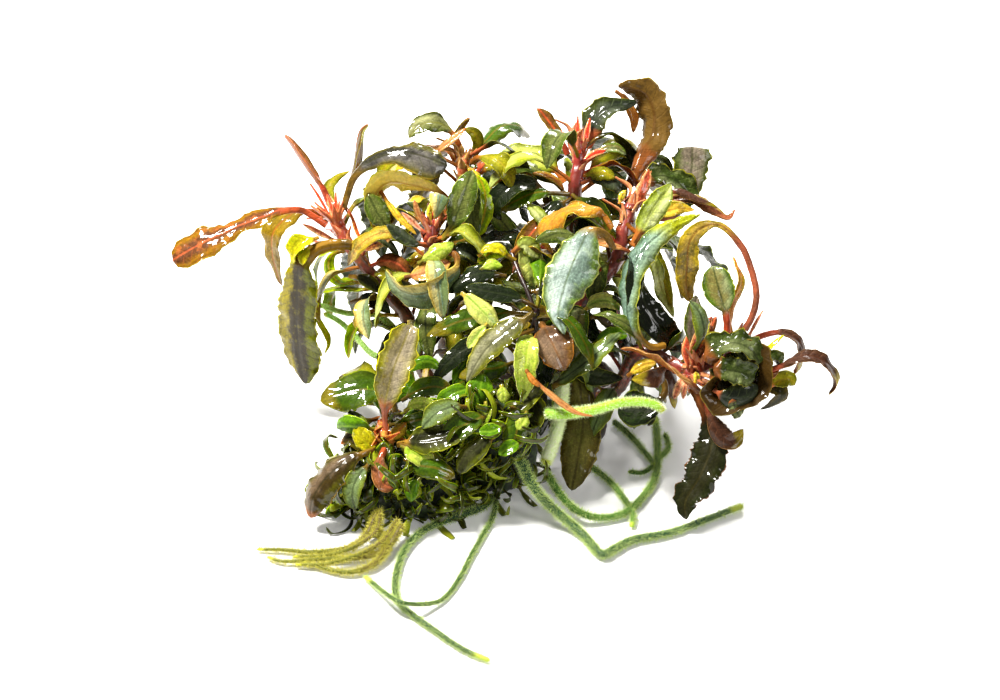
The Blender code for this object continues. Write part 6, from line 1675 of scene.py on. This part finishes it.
# %% Root tables
# Roots: radius at the base and at the tip, and places; those of one name are fused
ROOTS = [(*sizes, route) for _, sizes, route in shapes_of("""
root_white_horizontal .65 .45 | 5.8 -8.1 11.6,8 -8.3 12.5,12 -7.8 13,16 -6.8 12.6,19.5 -6.9 12,
 21.4 -7.9 11.4
root_white_hanging .8 .7 | real 5.7 3.8 11.6,7.3 1.6 13.2,seen 8.1 -5.2 7.2,7.5 -10 8.8,5.8 -15 9.8
root_long_right .8 .5 | 2.4 -13.8 11.4,4.3 -17.7 12,floor 7.2 -20.9 2.4,10.7 -23.9 .9,13.1 -26.5 .85,
 14.6 -26 .75,17.2 -24.7 .7,22.2 -23.7 .65,27.1 -21.9 .6,31.6 -20.2 .6
root_looped .62 .5 | floor 5.9 -15.7 5,8 -19 3.3,10.2 -21 1.9,13 -21.8 .9,16.2 -21.2 .7,18.7 -18.9 .65,
 20.2 -16.4 .65,20.5 -12.7 .6,20.2 -8.7 .6
root_looped .5 .42 | floor 11.7 -15 .6,14.4 -17.2 .6,16.4 -19.7 .65,17.3 -21.4 .6,17.1 -23 .55
root_looped .5 .4 | floor 14.7 -9.2 .6,17.2 -11.4 .6,19.6 -14.2 .6,20.3 -15.2 .65
root_looped .4 .35 | floor 20.1 -14.9 .6,18.6 -15.9 .5,16.6 -15.8 .5
root_looped .45 .35 | floor 20.5 -14.2 .6,21.9 -12.7 .5,21.4 -10.8 .5
root_long_front .6 .42 | floor -.9 -19 .8,-2.5 -20.5 .7,-5.9 -21.7 .65,-9.7 -23.3 .65,-12.2 -25.7 .65,
 -13.4 -28.7 .65,-13.6 -31.5 .62,-12.5 -33.5 .6,-8.3 -36.6 .55,-4.8 -38.9 .55,-1.3 -40.4 .5
root_thin_front .42 .35 | floor -.4 -18.2 .9,-.9 -21.6 .5,-2.2 -24 .5,-3.9 -27 .5,-5.1 -29.4 .5,
 -6.9 -31.9 .5,-8.7 -32.9 .8,-11.8 -33 2,-14.1 -32.2 2,-17.6 -29.4 .6
root_brown_bundle .8 .3 | floor -15.9 -21 3.2,-17.3 -24 1.6,-19.9 -25.8 .8,-24.5 -26.3 .7,-28 -26 .6,
 -31.7 -25.9 .5
root_brown_bundle .8 .3 | floor -12.6 -22.6 2.8,-14.6 -25.6 1.2,-17.6 -26.9 .8,-23.4 -27.2 .7,-28 -27.5 .6,
 -30.3 -26.9 .5
root_brown_bundle .8 .3 | floor -14.4 -25.6 1.2,-16.6 -28 .8,-19.9 -28.9 .7,-23.4 -28.2 .6,-25.7 -27.5 .6
root_brown_bundle .5 .3 | floor -13.2 -22 2.6,-15.2 -24.8 1.8,-18.4 -26.6 1.3,-22.6 -27.8 .9,-26.6 -27.9 .6
root_brown_bundle .5 .3 | floor -15.6 -20.6 3.4,-16 -23.4 2.4,-18.6 -25.4 1.4,-22 -26.6 .9,-27 -26.9 .6
root_brown_bundle .9 .8 | floor -16.4 -22.8 2.4,-15.4 -24.2 1.6,-14.6 -25.7 1.2
root_pale_pair .4 .3 | -13 2 -7,-15 4 -7,-17 4.8 -7,-20 4.8 -7.2,-24.2 6.1 -7.6
root_pale_pair .4 .3 | -13 2 -7,-14.4 -.4 -7.2,-16.5 -.6 -7.4,-19 2 -7.8,-21 3.8 -8.2,-23 4.8 -9
""")]

# %% Root finishes


def root_finish(name, core, pale, tip=(186, 196, 60), base=None, cover=0.5):
    """The finish of a root from its core, its pale fuzz and how much that covers, its tip and its base."""
    material, tree, shader, place = new_finish(name, 0.6, 0.1, 0.3, 0.4, subsurface=0.1)
    share = painted(tree, "share")
    broad = noise(tree, place, 380.0, 2.0, 0.6) - 0.5
    fine = noise(tree, place, 5200.0, 3.0, 0.6) - 0.5
    colour = tint(tree, (fine * 1.5 + broad * 0.5 + cover).smooth(0.3, 0.8), core, pale)
    if base:
        colour = tint(tree, (share + broad * 0.2).smooth(0.3, 0.55), base, colour)
    colour = tint(tree, (share + fine * 0.01).smooth(0.935, 0.965), colour, tip)
    feed(tree, shader.inputs["Base Color"], colour)
    bumped(tree, shader, fine + broad * 0.5, 0.06)
    shader.inputs["Sheen Weight"].default_value = 0.7
    shader.inputs["Sheen Roughness"].default_value = 0.3
    shader.inputs["Sheen Tint"].default_value = shade(*pale)
    return material


def hair_finish(name, *colour):
    """The finish of root hairs, one plain colour."""
    material, _, shader, _ = new_finish(name, 0.7, 0.0, 0.3, 0.3)
    shader.inputs["Base Color"].default_value = shade(*colour)
    return material


# Hairs of a kind of root, and how thick its core is as a share of the solid
HAIR_LOOKS = {"green": (hair_finish("green_hairs", 196, 216, 130), 0.72),
              "white": (hair_finish("white_hairs", 240, 250, 196), 1.05),
              "brown": (hair_finish("brown_hairs", 206, 200, 90), 0.55)}

# Roots: solid, name of the look and kind of hair, then the colours of the core, the fuzz, the tip and
# the base, how much the fuzz covers, and the hairs to the square millimetre with their length
ROOT_LOOKS = """
root_white_horizontal white_root white: core 150 208 16, pale 206 234 100, cover .35, hairs 52 .42
root_white_hanging mint_root white: core 222 242 170, pale 246 252 224, cover .6, hairs 56 .42
root_long_right grey_green_root green: core 20 66 32, pale 92 138 52, cover .15, hairs 56 .6
root_looped looped_root green: core 58 104 16, pale 120 158 60, tip 170 196 50, cover .2, hairs 54 .52
root_long_front front_root green: core 18 62 6, pale 70 116 14, cover .15, hairs 54 .52
root_thin_front thin_root green: core 34 72 4, pale 66 108 16, cover .2, hairs 50 .46
root_brown_bundle brown_root brown: core 96 104 8, pale 146 140 36, tip 196 198 40, base 92 76 22,
 cover .3, hairs 90 .6
root_pale_pair pale_root white: core 140 206 60, pale 206 234 150, hairs 50 .36
"""
print("kinds of root hair", len(HAIR_LOOKS))

# %% Grow the roots
for names, look in settings_of(ROOT_LOOKS).items():
    root, name, kind = names.split()
    fuzz, core = HAIR_LOOKS[kind]
    density, length = look.pop("hairs")
    finish = root_finish(name, **look)
    strands = [make_tube(f"{root}_strand", points, base * core, tip * core, finish, sides=18, scars=0.0,
                         ridges=0.06, lumps=0.10, floor=0.0, hairs=density, hair_length=length,
                         hair_finish=fuzz)
               for owner, base, tip, points in ROOTS if owner == root]
    shown(joined(root + "_grown", strands), root)
print("roots", len(ROOTS))

# %% [markdown]
# ## The mat of curly leaflets
#
# Hundreds of baby leaves crowd the old stems at the front. Each is a curled strip a few
# millimetres long, deep green with a bright rim. Six leaflets are grown with the leaf tree, coarse
# on purpose because each is repeated more than a hundred times, and a second tree scatters them
# over two lumpy mounds, turned to the surface and then tipped at random.

# %% Leaflet mat
moss_look = leaf_finish("moss_leaflet", (38, 52, 3), (72, 92, 5), (150, 170, 30), (90, 100, 20), (30, 42, 3),
                        zone=(0.2, 0.8), specks=0.1, grain=0.02, roughness=0.35, coat=0.6, rim_from=0.78,
                        subsurface=0.1)
moss_tree = moss_look.node_tree
moss_shader = moss_tree.nodes["Principled BSDF"]
plain_colour = moss_shader.inputs["Base Color"].links[0].from_socket
toned_colour = tint(moss_tree, painted(moss_tree, "tone").smooth(0.55, 1.0, 0.0, 0.7),
                    plain_colour, (150, 160, 30))
toned_colour = scaled(moss_tree, toned_colour, painted(moss_tree, "tone") * 0.95 + 0.22)
feed(moss_tree, moss_shader.inputs["Base Color"], toned_colour)
mound_look, mound_tree, mound_shader, mound_place = new_finish("moss_mound", 0.7, 0.2)
mound_colour = tint(mound_tree, noise(mound_tree, mound_place, 900.0, 3.0, 0.6).smooth(0.35, 0.7),
                    (18, 26, 10), (48, 70, 22))
feed(mound_tree, mound_shader.inputs["Base Color"], mound_colour)
bumped(mound_tree, mound_shader, noise(mound_tree, mound_place, 1600.0, 3.0, 0.6), 0.2)

# Leaflets: length, width, how far they curl over, and sideways, in millimetres
LEAFLETS = ((2.8, 0.8, 1.4, 0.3), (3.6, 0.7, 2.4, -0.6), (2.4, 0.9, 1.8, 0.7), (4.6, 0.7, 2.8, 1.0),
            (2.8, 1.3, 0.8, -0.6), (4.2, 0.6, 3.2, -1.4))
template_box = bpy.data.collections.new("leaflets")
for number, (length, width, curl, sway) in enumerate(LEAFLETS):
    route = [real(0.0, 0.0, -0.3), real(sway * 0.3, curl * 0.1, length * 0.35),
             real(sway * 0.8, curl * 0.45, length * 0.62), real(sway, curl, length * 0.66),
             real(sway * 1.1, curl * 1.25, length * 0.48)]
    leaflet = make_leaf(
        f"leaflet_{number}", route, Vector((0.0, -1.0, 0.3)).normalized(), width, 0.2, 0.6, moss_look,
        stalk_width=0.35, spacing=0.95, thickness=0.18, sides=6, seed=number * 1.3, wave_height=0.05,
        midrib=0.03, veins=0.0, wrinkle=0.02, buckle=0.04, fold=0.35)
    scene.collection.objects.unlink(leaflet)
    template_box.objects.link(leaflet)

# Leaflets that would dip below this height flatten out above the ground
FLOOR_SOFTNESS = 0.8 * MM


def build_mat_tree():
    """The tree that covers a mound with leaflets taken from a collection."""
    tree, given, finish, size = new_tree("leaflet_mat", {"Leaflets": 0.9, "Smallest": 0.5, "Largest": 1.5,
                                                         "Bare Beyond": 3.0, "Seed": 4})
    here = add_node(tree, "GeometryNodeInputPosition").outputs[0]
    right = Flow(tree, add_node(tree, "ShaderNodeSeparateXYZ", {0: here}).outputs[0])
    shapes = add_node(tree, "GeometryNodeCollectionInfo", {
        "Collection": template_box, "Separate Children": True, "Reset Children": True}).outputs[0]
    covered = right.above(size["Bare Beyond"] * MM).rest()
    leaflets = scattered(tree, given, size["Leaflets"], size["Seed"], shapes, 0.9,
                         (size["Smallest"], size["Largest"]), covered, True)
    tone = add_node(tree, "FunctionNodeRandomValue", {2: 0.0, 3: 1.0, "Seed": 12}, data_type="FLOAT")
    leaflets = add_node(tree, "GeometryNodeStoreNamedAttribute", {
        "Geometry": leaflets, "Name": "tone", "Value": tone.outputs[1]}, data_type="FLOAT", domain="INSTANCE")
    soft = with_height(tree, here, lambda height: height.math(
        "MAXIMUM", (height / FLOOR_SOFTNESS - 1.0).math("MINIMUM", 0.0).math("EXPONENT") * FLOOR_SOFTNESS))
    leaflets = moved(tree, made_real(tree, leaflets.outputs[0]), soft)
    hand_out(tree, finished(tree, given, finish), leaflets)
    return tree


# Mounds: middle and half sizes in millimetres
MOSS_MOUNDS = (
    ((-12.4, -6.4, 2.4), (9.3, 4.9, 5.4)),
    ((-0.4, -3.9, 6.6), (5.4, 2.4, 7.6)),
)
mat_tree = build_mat_tree()
mounds = []
for number, (middle, half_sizes) in enumerate(MOSS_MOUNDS):
    bpy.ops.mesh.primitive_ico_sphere_add(subdivisions=5, radius=1.0)
    mound = bpy.context.object
    for vert in mound.data.vertices:
        x, y, z = vert.co
        lump = (0.92 + 0.06 * math.sin(7.0 * x + 2.0 * z) * math.cos(6.0 * y - 3.0 * x)
                + 0.03 * math.sin(19.0 * x - 3.0 * y) * math.sin(17.0 * z + 4.0 * y))
        place = [middle[i] + vert.co[i] * half_sizes[i] * lump for i in range(3)]
        vert.co = real(place[0], place[1], max(place[2], 0.05))
    mound.data.shade_smooth()
    mesh = mound.data.copy()
    bpy.data.objects.remove(mound)
    mounds.append(grown(f"mound_{number}", mat_tree, mesh, mound_look, seed=4 + number))
shown(joined("moss_mat_grown", mounds), "moss_mat")
for leaflet in list(template_box.objects):
    bpy.data.objects.remove(leaflet)
bpy.data.collections.remove(template_box)
print("mounds of leaflets", len(mounds))

# %% [markdown]
# ## Hand the scene over
#
# The box around the finished model is set beside the box of the solids, so that anything that has
# grown past its place is found early.

# %% Sizes and finish
dressed_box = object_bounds()
for axis in range(3):
    was = (solid_box[1][axis] - solid_box[0][axis]) / MM
    now = (dressed_box[1][axis] - dressed_box[0][axis]) / MM
    print("xyz"[axis], "solids", round(was, 1), "mm, dressed", round(now, 1), "mm")
counts = {piece.name: sum(len(face.vertices) - 2 for face in piece.data.polygons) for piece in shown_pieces()}
heaviest = max(counts, key=counts.get)
print("triangles", sum(counts.values()), "of which", heaviest, counts[heaviest])
